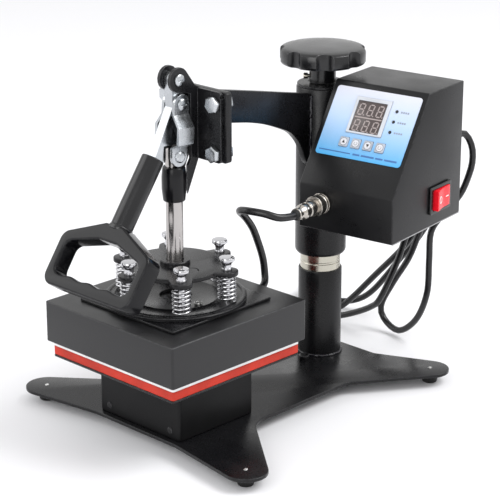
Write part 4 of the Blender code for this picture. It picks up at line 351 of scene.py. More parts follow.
def aim(direction: Point, at: Point) -> Matrix:
    """A frame whose +Z points along a direction."""
    turn = Vector(direction).to_track_quat("Z", "Y").to_matrix().to_4x4()
    return Matrix.Translation(Vector(at)) @ turn


def smooth_route(route: Sequence[Vector], step: float) -> list[Vector]:
    """Even points on a smooth curve, with a straight first and last stretch.

    Args:
        route: the points that it passes.
        step: how far apart the new points are.

    Returns:
        The new points.
    """
    dense = []
    parts = 12
    for index in range(1, len(route) - 2):
        a, b, c, d = route[index - 1:index + 3]
        for part in range(parts):
            t = part / parts
            dense.append(0.5 * ((2 * b) + (c - a) * t + (2 * a - 5 * b + 4 * c - d) * t ** 2
                                + (3 * b - a - 3 * c + d) * t ** 3))
    dense.append(route[-2])
    lengths = [0.0]
    for first, second in zip(dense, dense[1:]):
        lengths.append(lengths[-1] + (second - first).length)
    count = max(2, round(lengths[-1] / step))
    path = [route[0]]
    index = 0
    for number in range(count + 1):
        target = lengths[-1] * number / count
        while index < len(lengths) - 2 and lengths[index + 1] < target:
            index += 1
        share = (target - lengths[index]) / (lengths[index + 1] - lengths[index])
        path.append(dense[index].lerp(dense[index + 1], min(1.0, share)))
    return path + [route[-1]]


def tube_curve(name: str, path: Sequence[Vector], radius: float, bulk: int = 5
               ) -> bpy.types.Object:
    """A round curve of one open spline along a path.

    Args:
        name: the piece's name.
        path: its centre line.
        radius: of its section.
        bulk: how round the section is.

    Returns:
        The curve.
    """
    data = bpy.data.curves.new(name, "CURVE")
    data.dimensions = "3D"
    data.bevel_depth = radius
    data.bevel_resolution = bulk
    data.use_fill_caps = True
    spline = data.splines.new("POLY")
    spline.points.add(len(path) - 1)
    for point, place in zip(spline.points, path):
        point.co = (*place, 1)
    spline.use_smooth = True
    obj = bpy.data.objects.new(name, data)
    bpy.context.scene.collection.objects.link(obj)
    return obj


def as_mesh(obj: bpy.types.Object) -> bpy.types.Object:
    """Turn a curve into a closed mesh, and return it."""
    pick(obj)
    bpy.ops.object.convert(target="MESH")
    bpy.ops.object.mode_set(mode="EDIT")
    bpy.ops.mesh.select_all(action="SELECT")
    bpy.ops.mesh.remove_doubles(threshold=TOUCHING)
    close_up()
    return smooth(obj)


def ripple(obj: bpy.types.Object, scale: float, height: float) -> None:
    """Move each point of a piece a little, the same way each run."""
    noise.seed_set(RIPPLE_SEED)
    for vert in obj.data.vertices:
        vert.co += noise.noise_vector(vert.co * scale) * height


def group_socket(group: bpy.types.NodeTree, name: str, kind: str, way: str = "INPUT") -> None:
    """Give a node group a socket."""
    group.interface.new_socket(name=name, in_out=way, socket_type=f"NodeSocket{kind}")


def math_node(tree: bpy.types.NodeTree, operation: str, first: object, second: object
              ) -> bpy.types.NodeSocket:
    """Add a Math node.

    Args:
        tree: where it goes.
        operation: what it works out.
        first: a socket or a number.
        second: a socket or a number.

    Returns:
        Its output.
    """
    node = tree.nodes.new("ShaderNodeMath")
    node.operation = operation
    for slot, value in zip(node.inputs, (first, second)):
        if isinstance(value, bpy.types.NodeSocket):
            tree.links.new(value, slot)
        else:
            slot.default_value = value
    return node.outputs[0]


def spread(tree: bpy.types.NodeTree, value: bpy.types.NodeSocket, low: float, high: float,
           to_low: float = 0.0, to_high: float = 1.0) -> bpy.types.NodeSocket:
    """Map a value's range onto another, clamped."""
    node = tree.nodes.new("ShaderNodeMapRange")
    tree.links.new(value, node.inputs["Value"])
    for name, number in (("From Min", low), ("From Max", high), ("To Min", to_low),
                         ("To Max", to_high)):
        node.inputs[name].default_value = number
    return node.outputs["Result"]


def blend_colours(tree: bpy.types.NodeTree, share: object, first: object, second: object
                  ) -> bpy.types.NodeSocket:
    """Mix two colours.

    Args:
        tree: where the node goes.
        share: how much of the second, a socket or a number.
        first: a colour or its socket.
        second: a colour or its socket.

    Returns:
        The mixed colour.
    """
    node = tree.nodes.new("ShaderNodeMix")
    node.data_type = "RGBA"
    for slot, value in ((node.inputs[0], share), (node.inputs[6], first),
                        (node.inputs[7], second)):
        if isinstance(value, bpy.types.NodeSocket):
            tree.links.new(value, slot)
        elif slot.type == "RGBA":
            slot.default_value = (*value, 1)
        else:
            slot.default_value = value
    return node.outputs[2]


def grain_group() -> bpy.types.NodeTree:
    """Fine grain and broad cloudiness, built once.

    Returns:
        The group: colour, roughness and height out of a plain colour and roughness.
    """
    found = bpy.data.node_groups.get("surface grain")
    if found:
        return found
    group = bpy.data.node_groups.new("surface grain", "ShaderNodeTree")
    for name, kind in (("Colour", "Color"), ("Roughness", "Float"), ("Stretch", "Vector"),
                       ("Grain size", "Float"), ("Mottle", "Float"), ("Spread", "Float")):
        group_socket(group, name, kind)
    for name, kind in (("Colour", "Color"), ("Roughness", "Float"), ("Height", "Float")):
        group_socket(group, name, kind, "OUTPUT")
    nodes, links = group.nodes, group.links
    given = nodes.new("NodeGroupInput")
    result = nodes.new("NodeGroupOutput")
    where = nodes.new("ShaderNodeTexCoord")
    pulled = nodes.new("ShaderNodeVectorMath")
    pulled.operation = "MULTIPLY"
    links.new(where.outputs["Object"], pulled.inputs[0])
    links.new(given.outputs["Stretch"], pulled.inputs[1])
    fine = nodes.new("ShaderNodeTexNoise")
    fine.inputs["Detail"].default_value = 3
    links.new(pulled.outputs[0], fine.inputs["Vector"])
    links.new(given.outputs["Grain size"], fine.inputs["Scale"])
    broad = nodes.new("ShaderNodeTexNoise")
    broad.inputs["Scale"].default_value = 38
    broad.inputs["Detail"].default_value = 4
    links.new(where.outputs["Object"], broad.inputs["Vector"])
    cloud = spread(group, broad.outputs[0], 0.3, 0.7, -1, 1)
    shade = math_node(group, "ADD", 1.0, math_node(group, "MULTIPLY", cloud,
                                                   given.outputs["Mottle"]))
    scaled = nodes.new("ShaderNodeVectorMath")
    scaled.operation = "SCALE"
    links.new(given.outputs["Colour"], scaled.inputs[0])
    links.new(shade, scaled.inputs["Scale"])
    uneven = math_node(group, "ADD", spread(group, fine.outputs[0], 0.25, 0.75, -1, 1), cloud)
    rough = math_node(group, "ADD", given.outputs["Roughness"],
                      math_node(group, "MULTIPLY", uneven, given.outputs["Spread"]))
    links.new(scaled.outputs[0], result.inputs["Colour"])
    links.new(rough, result.inputs["Roughness"])
    links.new(fine.outputs[0], result.inputs["Height"])
    return group


def edge_group() -> bpy.types.NodeTree:
    """Soft normals at edges, and a patchy band of edge colour that is partly rubbed paint and
    partly a painted highlight, built once.

    Returns:
        The group: a colour with a band of edge colour at its edges, partly rubbed paint and partly
            a painted highlight line, and a normal that is soft at edges.
    """
    found = bpy.data.node_groups.get("rubbed edge and painted highlight")
    if found:
        return found
    group = bpy.data.node_groups.new("rubbed edge and painted highlight", "ShaderNodeTree")
    for name, kind in (("Colour", "Color"), ("Edge colour", "Color"), ("Share", "Float"),
                       ("Width", "Float")):
        group_socket(group, name, kind)
    group_socket(group, "Colour", "Color", "OUTPUT")
    group_socket(group, "Normal", "Vector", "OUTPUT")
    nodes, links = group.nodes, group.links
    given = nodes.new("NodeGroupInput")
    result = nodes.new("NodeGroupOutput")
    round_off = nodes.new("ShaderNodeBevel")
    round_off.samples = 4
    links.new(given.outputs["Width"], round_off.inputs["Radius"])
    flat = nodes.new("ShaderNodeNewGeometry")
    apart = nodes.new("ShaderNodeVectorMath")
    apart.operation = "DOT_PRODUCT"
    links.new(round_off.outputs[0], apart.inputs[0])
    links.new(flat.outputs["Normal"], apart.inputs[1])
    near = spread(group, apart.outputs["Value"], 0.995, 0.86)
    where = nodes.new("ShaderNodeTexCoord")
    patchy = nodes.new("ShaderNodeTexNoise")
    patchy.inputs["Scale"].default_value = 190
    links.new(where.outputs["Object"], patchy.inputs["Vector"])
    patches = spread(group, patchy.outputs[0], 0.38, 0.62, 0.35, 1)
    # Edge mask: the edge colour goes on patchily along edges, partly as rubbed paint and partly as
    # a painted highlight line.
    worn_and_highlit = math_node(group, "MULTIPLY", math_node(group, "MULTIPLY", near, patches),
                     given.outputs["Share"])
    mixed = blend_colours(group, worn_and_highlit, given.outputs["Colour"], given.outputs["Edge colour"])
    links.new(mixed, result.inputs["Colour"])
    links.new(round_off.outputs[0], result.inputs["Normal"])
    return group


@dataclass(frozen=True)
class Finish:
    """A finish: its record slot, colour and gloss, grain, and an edge colour that is partly rubbed
    paint and partly a painted highlight.
    """

    slot: str
    colour: Colour
    roughness: float
    metallic: float = 0.0
    grain: float = 900.0
    depth: float = 0.00003
    mottle: float = 0.12
    rough_spread: float = 0.05
    # The edge colour is laid along edges: partly rubbed paint, and where it is pale, a painted
    # highlight.
    edge_colour: Colour = (0.16, 0.16, 0.17)
    edge_share: float = 0.5
    edge_width: float = 0.0006
    stretch: Point = (1.0, 1.0, 1.0)
    coat: float = 0.0
    specular: float = 0.5
    label: str = ""

    def material(self) -> bpy.types.Material:
        """Build the finish once.

        Returns:
            Its material.
        """
        name = "looks " + (self.label or self.slot)
        found = bpy.data.materials.get(name)
        if found:
            return found
        material = bpy.data.materials.new(name)
        material.use_nodes = True
        tree = material.node_tree
        shader = tree.nodes["Principled BSDF"]
        shader.inputs["Metallic"].default_value = self.metallic
        shader.inputs["Coat Weight"].default_value = self.coat
        shader.inputs["Specular IOR Level"].default_value = self.specular
        grain = tree.nodes.new("ShaderNodeGroup")
        grain.node_tree = grain_group()
        self.lay_colour(tree, grain.inputs["Colour"])
        grain.inputs["Roughness"].default_value = self.roughness
        grain.inputs["Stretch"].default_value = self.stretch
        grain.inputs["Grain size"].default_value = self.grain
        grain.inputs["Mottle"].default_value = self.mottle
        grain.inputs["Spread"].default_value = self.rough_spread
        edge = tree.nodes.new("ShaderNodeGroup")
        edge.node_tree = edge_group()
        edge.inputs["Edge colour"].default_value = (*self.edge_colour, 1)
        edge.inputs["Share"].default_value = self.edge_share
        edge.inputs["Width"].default_value = self.edge_width
        bump = tree.nodes.new("ShaderNodeBump")
        bump.inputs["Distance"].default_value = self.depth
        tree.links.new(grain.outputs["Colour"], edge.inputs["Colour"])
        tree.links.new(edge.outputs["Colour"], shader.inputs["Base Color"])
        tree.links.new(grain.outputs["Roughness"], shader.inputs["Roughness"])
        tree.links.new(grain.outputs["Height"], bump.inputs["Height"])
        tree.links.new(edge.outputs["Normal"], bump.inputs["Normal"])
        tree.links.new(bump.outputs["Normal"], shader.inputs["Normal"])
        return material

    def lay_colour(self, tree: bpy.types.NodeTree, target: bpy.types.NodeSocket) -> None:
        """Set the plain colour on a socket."""
        target.default_value = (*self.colour, 1)


@dataclass(frozen=True)
class FilmFinish(Finish):
    """The label's film, pale at the top and sky blue at the bottom."""

    low_colour: Colour = (0.085, 0.42, 0.80)
    middle_colour: Colour = (0.50, 0.65, 0.88)
    middle_share: float = 0.42
    top: float = -0.0054
    bottom: float = -0.0705

    def lay_colour(self, tree: bpy.types.NodeTree, target: bpy.types.NodeSocket) -> None:
        """Run the colour down the sloping face.

        Args:
            tree: the material's nodes.
            target: the socket that takes the colour.
        """
        where = tree.nodes.new("ShaderNodeTexCoord")
        up = PANEL.to_3x3().col[1]
        along = tree.nodes.new("ShaderNodeVectorMath")
        along.operation = "DOT_PRODUCT"
        tree.links.new(where.outputs["Object"], along.inputs[0])
        along.inputs[1].default_value = up
        base = PANEL.translation.dot(up)
        share = spread(tree, along.outputs["Value"], base + self.top, base + self.bottom)
        ramp = tree.nodes.new("ShaderNodeValToRGB")
        tree.links.new(share, ramp.inputs[0])
        ramp.color_ramp.elements[0].color = (*self.colour, 1)
        ramp.color_ramp.elements[1].color = (*self.low_colour, 1)
        middle = ramp.color_ramp.elements.new(self.middle_share)
        middle.color = (*self.middle_colour, 1)
        tree.links.new(ramp.outputs[0], target)


# The pale edge colours of the black paints, the box, the plastics, zinc, aluminium and silicone are
# painted highlight lines along edges, laid over some rubbed paint.
BLACK_PAINT = Finish("black_paint", (0.0065, 0.0065, 0.0075), 0.28, grain=700,
                     depth=0.00003, mottle=0.18, edge_colour=(0.20, 0.20, 0.21),
                     edge_share=0.75, edge_width=0.0007, specular=0.30)
SHEET_PAINT = Finish("black_paint", (0.0100, 0.0100, 0.0110), 0.36, grain=800,
                     depth=0.00003, mottle=0.15, edge_colour=(0.34, 0.34, 0.36),
                     edge_share=0.9, edge_width=0.0010, specular=0.45, label="sheet_paint")
GLOSS_PAINT = Finish("black_paint", (0.005, 0.005, 0.006), 0.20, grain=700, depth=0.00002,
                     edge_colour=(0.16, 0.16, 0.17), edge_share=0.5, specular=0.45,
                     label="gloss_paint")
WELD_PAINT = Finish("black_paint", (0.010, 0.009, 0.014), 0.16, grain=900, depth=0.00006,
                    edge_share=0.0, specular=0.7, label="weld_paint")
BOX_PAINT = Finish("box_paint", (0.0062, 0.0062, 0.0070), 0.32, grain=1100, depth=0.00003,
                   mottle=0.15, edge_colour=(0.42, 0.42, 0.44), edge_share=0.9,
                   edge_width=0.0009, specular=0.27)
# A pale strip for the tray's sheet edge along the box's bottom right edge: a painted highlight
# where that edge catches light.
TRAY_EDGE_HIGHLIGHT = Finish("box_paint", (0.34, 0.34, 0.35), 0.40, edge_share=0.0, label="tray_edge_highlight")
ZINC = Finish("zinc", (0.47, 0.49, 0.51), 0.24, 1.0, grain=260, mottle=0.16,
              edge_colour=(0.80, 0.82, 0.83), stretch=(1.0, 1.0, 0.3))
POST_ZINC = Finish("yellow_zinc", (0.50, 0.48, 0.41), 0.22, 1.0, grain=900, mottle=0.08,
                   stretch=(0.05, 0.05, 1.0), edge_share=0.0)
BRONZE = Finish("bronze", (0.55, 0.40, 0.20), 0.35, 1.0, edge_share=0.0)
CHROME = Finish("chrome", (0.58, 0.58, 0.60), 0.13, 1.0, grain=700, mottle=0.08,
                rough_spread=0.03, depth=0.00001, edge_colour=(0.20, 0.20, 0.21),
                edge_share=0.45, edge_width=0.0004)
NICKEL = Finish("chrome", (0.50, 0.47, 0.43), 0.20, 1.0, grain=900, mottle=0.10,
                depth=0.00001, edge_colour=(0.16, 0.15, 0.14), edge_share=0.55,
                edge_width=0.0005, label="nickel")
ROD_CHROME = Finish("chrome", (0.44, 0.42, 0.41), 0.17, 1.0, grain=1500, mottle=0.05,
                    stretch=(0.04, 0.04, 1.0), depth=0.00002, edge_share=0.0,
                    label="ground_rod")
ALUMINIUM = Finish("aluminium", (0.80, 0.80, 0.80), 0.40, 0.5, grain=500,
                   edge_colour=(0.86, 0.86, 0.86))
RED_SILICONE = Finish("red_silicone", (0.50, 0.034, 0.018), 0.55, grain=1300, depth=0.0004,
                      mottle=0.22, edge_colour=(0.62, 0.11, 0.06), edge_share=0.6,
                      edge_width=0.0009, specular=0.25)
RUBBER = Finish("rubber", (0.008, 0.008, 0.008), 0.60, grain=1400, depth=0.00008,
                edge_share=0.15, specular=0.35)
KNOB_PLASTIC = Finish("black_plastic", (0.006, 0.006, 0.007), 0.22, grain=1500,
                      depth=0.00004, edge_colour=(0.30, 0.30, 0.31), edge_share=0.5,
                      edge_width=0.0008, specular=0.5)
BUSH_PLASTIC = Finish("black_plastic", (0.004, 0.004, 0.005), 0.18, grain=1500,
                      depth=0.00003, edge_share=0.2, specular=0.28, label="bush_plastic")
GRIP_PLASTIC = Finish("black_plastic", (0.0035, 0.0035, 0.0045), 0.15, grain=1500,
                      depth=0.00002, edge_colour=(0.34, 0.34, 0.36), edge_share=0.8,
                      edge_width=0.0013, specular=0.24, label="grip_plastic")
# A darker, duller copy of the black paint for the pedestal: painted shade for its place in shadow
# under the bed.
SHADE_PAINT = Finish("black_paint", (0.004, 0.004, 0.0045), 0.45, grain=700, depth=0.00003,
                     edge_colour=(0.05, 0.05, 0.055), edge_share=0.5, specular=0.2,
                     label="shade_paint")
JACKET = Finish("cable_jacket", (0.006, 0.006, 0.007), 0.28, grain=1200, depth=0.00003,
                edge_share=0.0, specular=0.45)
WOOL = Finish("wool", (0.78, 0.76, 0.70), 0.95, grain=2600, depth=0.0006, edge_share=0.0)
CIRCUIT = Finish("circuit", (0.05, 0.22, 0.10), 0.50, edge_share=0.0)
LABEL_FILM = FilmFinish("label_film", (0.68, 0.69, 0.77), 0.30, mottle=0.02, grain=2400,
                        depth=0.00001, edge_share=0.0, specular=0.3)
LABEL_INK = Finish("label_film", (0.05, 0.16, 0.42), 0.40, edge_share=0.0, label="label_ink")
PRINT_GREY = Finish("label_film", (0.30, 0.34, 0.44), 0.40, edge_share=0.0,
                    label="print_grey")
FRAME_GREY = Finish("display", (0.62, 0.65, 0.70), 0.35, edge_colour=(0.18, 0.22, 0.30),
                    edge_share=0.9, edge_width=0.0003, label="frame_grey", specular=0.3)
WINDOW = Finish("display", (0.075, 0.058, 0.056), 0.14, mottle=0.05, edge_share=0.0,
                depth=0.000002)
SEGMENT = Finish("display", (0.40, 0.34, 0.33), 0.30, mottle=0.03, edge_share=0.0,
                 label="segment")
LAMP = Finish("display", (0.012, 0.012, 0.016), 0.15, edge_share=0.0, label="lamp")
KEY_GREY = Finish("key_grey", (0.44, 0.48, 0.55), 0.38, edge_colour=(0.22, 0.24, 0.28),
                  edge_share=0.6, edge_width=0.0004, specular=0.3)
KEY_WHITE = Finish("key_grey", (0.74, 0.75, 0.80), 0.35, edge_share=0.0, label="key_white",
                   specular=0.3)
KEY_MARK = Finish("key_grey", (0.030, 0.030, 0.035), 0.40, edge_share=0.0, label="key_mark")
ROCKER_RED = Finish("rocker_red", (0.84, 0.008, 0.020), 0.24, mottle=0.05, depth=0.00001,
                    edge_colour=(0.72, 0.06, 0.06), edge_share=0.5, specular=0.3)
MARK_WHITE = Finish("rocker_red", (0.85, 0.83, 0.82), 0.35, edge_share=0.0,
                    label="mark_white")
STEEL_SCREW = Finish("zinc", (0.66, 0.66, 0.65), 0.25, 1.0, label="screw_steel",
                     edge_share=0.2)


def keep(obj: bpy.types.Object, body: str, finish: Finish, *nodes: str) -> bpy.types.Object:
    """Give a made piece its finish and its body.

    Args:
        obj: the piece.
        body: the body that it rides on.
        finish: its finish.
        nodes: the solids that it stands for.

    Returns:
        The same piece.
    """
    obj.data.materials.clear()
    obj.data.materials.append(finish.material())
    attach(obj, body)
    if nodes:
        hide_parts(*nodes)
    LOG.info("%s rides on %s", obj.name, body)
    return obj


def fit(obj: bpy.types.Object, place: Matrix, body: str, finish: Finish, *nodes: str
        ) -> bpy.types.Object:
    """Put a made piece in its place, shade it and keep it."""
    return keep(smooth(settle(obj, place)), body, finish, *nodes)


def fit_twin(obj: bpy.types.Object, name: str, place: Matrix, body: str, finish: Finish,
             *nodes: str) -> bpy.types.Object:
    """Copy a pattern to its place, shade the copy and keep it."""
    return keep(smooth(twin(obj, name, place)), body, finish, *nodes)


def dress(finish: Finish, *nodes: str) -> None:
    """Give solids that stay a finish."""
    for name in nodes:
        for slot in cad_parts[name].material_slots:
            slot.material = finish.material()
        LOG.info("%s dressed", name)


@dataclass
class Studio:
    """Camera, floor and soft light."""

    target: Point = (-0.01319165, 0.024251, 0.132525)
    distance: float = 1.67084485
    azimuth: float = math.radians(44.27708356)
    elevation: float = math.radians(18.95949252)
    lens: float = 134.34
    sensor: float = 36.0
    nearest: float = 0.01
    floor_half: float = 3.0
    floor_drop: float = 0.0002
    floor_roughness: float = 0.9
    floor_specular: float = 0.1
    floor_colour: Colour = (0.88, 0.88, 0.90)
    sky_strength: float = 0.85
    lamps: tuple = (("key", (1.2, 0.9, 1.9), 1.4, 34.0), ("fill", (-1.5, -1.4, 1.3), 1.6, 14.0),
                    ("front", (0.7, -2.0, 0.9), 1.2, 12.0))

    def camera(self) -> None:
        """Place the camera at the photograph's angle."""
        back = Vector((math.sin(self.azimuth) * math.cos(self.elevation),
                       -math.cos(self.azimuth) * math.cos(self.elevation),
                       math.sin(self.elevation)))
        data = bpy.data.cameras.new("camera")
        data.lens = self.lens
        data.sensor_width = self.sensor
        data.clip_start = self.nearest
        obj = bpy.data.objects.new("camera", data)
        bpy.context.scene.collection.objects.link(obj)
        obj.location = Vector(self.target) + back * self.distance
        obj.rotation_euler = (-back).to_track_quat("-Z", "Y").to_euler()
        bpy.context.scene.camera = obj

    def floor(self) -> None:
        """Lay the pale floor, which keeps the machine's shadow."""
        deselect()
        bpy.ops.mesh.primitive_grid_add(x_subdivisions=4, y_subdivisions=4,
                                        size=2 * self.floor_half,
                                        location=(0, 0, -self.floor_drop))
        obj = bpy.context.object
        obj.name = "floor"
        bpy.ops.object.transform_apply(location=True, rotation=True, scale=True)
        material = bpy.data.materials.new("pale floor")
        material.use_nodes = True
        shader = material.node_tree.nodes["Principled BSDF"]
        shader.inputs["Base Color"].default_value = (*self.floor_colour, 1)
        shader.inputs["Roughness"].default_value = self.floor_roughness
        shader.inputs["Specular IOR Level"].default_value = self.floor_specular
        obj.data.materials.append(material)

    def sky(self) -> None:
        """White behind the machine and in its metal, softer on everything else."""
        world = bpy.data.worlds.new("studio")
        world.use_nodes = True
        bpy.context.scene.world = world
        tree = world.node_tree
        soft = tree.nodes["Background"]
        soft.inputs["Color"].default_value = (1, 1, 1, 1)
        soft.inputs["Strength"].default_value = self.sky_strength
        seen = tree.nodes.new("ShaderNodeBackground")
        seen.inputs["Color"].default_value = (1, 1, 1, 1)
        rays = tree.nodes.new("ShaderNodeLightPath")
        direct = math_node(tree, "MAXIMUM", rays.outputs["Is Camera Ray"],
                           rays.outputs["Is Glossy Ray"])
        direct = math_node(tree, "MAXIMUM", direct, rays.outputs["Is Transmission Ray"])
        mix = tree.nodes.new("ShaderNodeMixShader")
        tree.links.new(direct, mix.inputs[0])
        tree.links.new(soft.outputs[0], mix.inputs[1])
        tree.links.new(seen.outputs[0], mix.inputs[2])
        tree.links.new(mix.outputs[0], tree.nodes["World Output"].inputs["Surface"])

    def light(self) -> None:
        """Hang the soft lamps, each aimed at the machine."""
        for name, place, size, power in self.lamps:
            data = bpy.data.lights.new(name, "AREA")
            data.size = size
            data.energy = power
            obj = bpy.data.objects.new(name, data)
            bpy.context.scene.collection.objects.link(obj)
            obj.location = place
            away = Vector(place) - Vector(self.target)
            obj.rotation_euler = away.to_track_quat("Z", "Y").to_euler()

    def build(self) -> None:
        """Set the whole studio up."""
        bpy.context.scene.view_settings.view_transform = "Standard"
        self.camera()
        self.floor()
        self.sky()
        self.light()


MAINS_ROUTE = (
    (0.0895, 0.2790, 0.2254), (0.0935, 0.2840, 0.2134), (0.0940, 0.2850, 0.1994),
    (0.0905, 0.2850, 0.1854), (0.0815, 0.2850, 0.1651), (0.0630, 0.2850, 0.1424),
    (0.0490, 0.2850, 0.1214), (0.0477, 0.2850, 0.0932), (0.0456, 0.2860, 0.0587),
    (0.0290, 0.2915, 0.0260), (0.0050, 0.2955, 0.0066), (-0.0150, 0.2975, 0.0116),
    (-0.0205, 0.2975, 0.0260), (-0.0050, 0.2960, 0.0539), (0.0150, 0.2940, 0.0839),
    (0.0250, 0.2960, 0.1104), (0.0320, 0.3000, 0.1354), (0.0270, 0.3090, 0.1504),
    (0.0140, 0.3125, 0.1304), (0.0040, 0.3085, 0.0974), (-0.0377, 0.3080, 0.0508),
    (-0.0797, 0.3050, 0.0070), (-0.0985, 0.2985, 0.0040), (-0.1070, 0.2870, 0.0038),
    (-0.1000, 0.2770, 0.0038), (-0.0800, 0.2740, 0.0045), (-0.0600, 0.2770, 0.0096),
    (-0.0387, 0.2790, 0.0184), (-0.0140, 0.2760, 0.0324), (-0.0010, 0.2730, 0.0454),
    (0.0213, 0.2690, 0.0874), (0.0400, 0.2650, 0.1314), (0.0560, 0.2700, 0.1674),
    (0.0600, 0.2880, 0.1864), (0.0520, 0.3120, 0.1794), (0.0320, 0.3240, 0.1454),
    (0.0049, 0.3250, 0.0999), (-0.0188, 0.3250, 0.0700), (-0.0540, 0.3245, 0.0262),
    (-0.0770, 0.3205, 0.0100), (-0.0960, 0.3080, 0.0088),
)
HEATER_ROUTE = (
    (0.0583, 0.0660, 0.1880), (0.0500, 0.0580, 0.1914), (0.0381, 0.0530, 0.1922),
    (0.0254, 0.0545, 0.1900), (0.0163, 0.0620, 0.1847), (0.0120, 0.0725, 0.1769),
    (0.0080, 0.0860, 0.1627), (0.0042, 0.0975, 0.1446), (0.0024, 0.1050, 0.1284),
    (0.0032, 0.1065, 0.1154), (0.0062, 0.1035, 0.1070),
)


@dataclass
class MainsLead:
    """The mains cord with its boot and plug."""

    radius: float = 0.0031
    step: float = 0.006
    relief: Point = (0.1080, 0.0405, 0.2271)
    relief_long: float = 0.0130
    boot_flange: Outline = ((0.0060, -0.0024), (0.0060, 0.0003), (0.0078, 0.0003),
                            (0.0078, 0.0020), (0.0062, 0.0022))
    boot_long: float = 0.0200
    boot_lip: float = 0.0006
    boot_ribs: int = 4
    rib_low: float = 0.0035
    rib_radius: float = 0.0061
    rib_taper: float = 0.0016
    rib_slope: float = 0.0002
    groove_deep: float = 0.0010
    end: Point = (-0.1180, 0.3060, 0.0086)
    end_heading: Point = (-0.707, 0.707, 0.0)
    plug_long: float = 0.0300
    plug_half_wide: float = 0.0115
    plug_half_tall: float = 0.0080
    plug_corner: float = 0.001
    plug_shoulder: float = 0.004
    neck: float = 0.0055
    neck_long: float = 0.0100
    sleeve: Outline = ((0.0048, 0.0015), (0.0047, -0.002), (0.0040, -0.0025),
                       (0.0046, -0.003), (0.0045, -0.005), (0.0039, -0.0055),
                       (0.0043, -0.006), (0.0041, -0.008), (0.0033, -0.0085))
    blade_half_wide: float = 0.00315
    blade_half_thick: float = 0.00075
    blade_long: float = 0.0170
    blade_corner: float = 0.0018
    blade_out: float = 0.0064

    def build(self) -> None:
        """Make the cord, then what is on its two ends."""
        start = SWING @ Vector(self.relief)
        heading = SWING.to_3x3() @ Vector((0, 1, 0))
        end = BED @ Vector(self.end)
        end_heading = Vector(self.end_heading).normalized()
        route = [start, start + heading * (self.relief_long + self.radius)]
        route += [BED @ Vector(point) for point in MAINS_ROUTE]
        route += [end - end_heading * self.radius * 2, end]
        path = smooth_route(route, self.step)
        for point in path:
            point.z = max(point.z, self.radius + GAP)
        cord = keep(tube_curve("mains_lead", path, self.radius), "swing_head", JACKET,
                    "mains_cord")
        plug = self.plug(aim(end_heading, end + end_heading * GAP))
        boot = self.boot(SWING @ aim((0, 1, 0), self.relief))
        LOG.info("%s closes the cover round the mains lead", boot.name)

    def boot(self, place: Matrix) -> bpy.types.Object:
        """The ribbed, tapered boot where the cord leaves the box.

        Args:
            place: the frame whose +Z leaves the box.

        Returns:
            The boot.
        """
        profile = list(self.boot_flange)
        pitch = (self.boot_long - self.rib_low) / self.boot_ribs
        for rib in range(self.boot_ribs):
            low = self.rib_low + rib * pitch
            radius = self.rib_radius - self.rib_taper * rib / self.boot_ribs
            groove = radius - self.groove_deep
            profile += [(radius, low), (radius - self.rib_slope, low + pitch * 0.60),
                        (groove, low + pitch * 0.66), (groove, low + pitch * 0.94)]
        profile += [(self.radius + self.boot_lip, self.boot_long),
                    (self.radius, self.boot_long)]
        boot = soften(turned("mains_boot", profile, steps=MEDIUM), Edge.HAIR)
        return fit(boot, place, "swing_head", RUBBER, "strain_relief")

    def plug(self, place: Matrix) -> list[bpy.types.Object]:
        """The moulded plug with its two blades.

        Args:
            place: the frame whose +Z runs out along the blades.

        Returns:
            The plug's pieces.
        """
        wide, tall, long = self.plug_half_wide, self.plug_half_tall, self.plug_long
        corner, shoulder = self.plug_corner, self.plug_shoulder
        outline = rounded([
            (-self.neck, 0, corner), (self.neck, 0, corner), (wide, self.neck_long, shoulder),
            (wide, long, corner), (-wide, long, corner), (-wide, self.neck_long, shoulder),
        ], 6)
        body = slab("plug_body", outline, -tall, tall, Plane.FRONT)
        fit(soften(body, Edge.PLUG), place, "swing_head", KNOB_PLASTIC, "mains_plug")
        neck = soften(turned("plug_sleeve", self.sleeve, steps=40), Edge.GROOVE)
        fit(neck, place, "swing_head", RUBBER)
        half, thick = self.blade_half_wide, self.blade_half_thick
        outline = rounded([
            (-half, 0, 0), (half, 0, 0), (half, self.blade_long, self.blade_corner),
            (-half, self.blade_long, self.blade_corner)], 5)
        blade = soften(slab("plug_blade", outline, -thick, thick, Plane.FRONT), Edge.TURNED)
        pieces = [body, neck]
        for side, name in ((-1, "plug_blade_a"), (1, "plug_blade_b")):
            at = (place @ Matrix.Translation((side * self.blade_out, 0, long - GAP))
                  @ Matrix.Rotation(math.pi / 2, 4, "Z"))
            pieces.append(fit_twin(blade, name, at, "swing_head", CHROME))
        discard(blade)
        return pieces


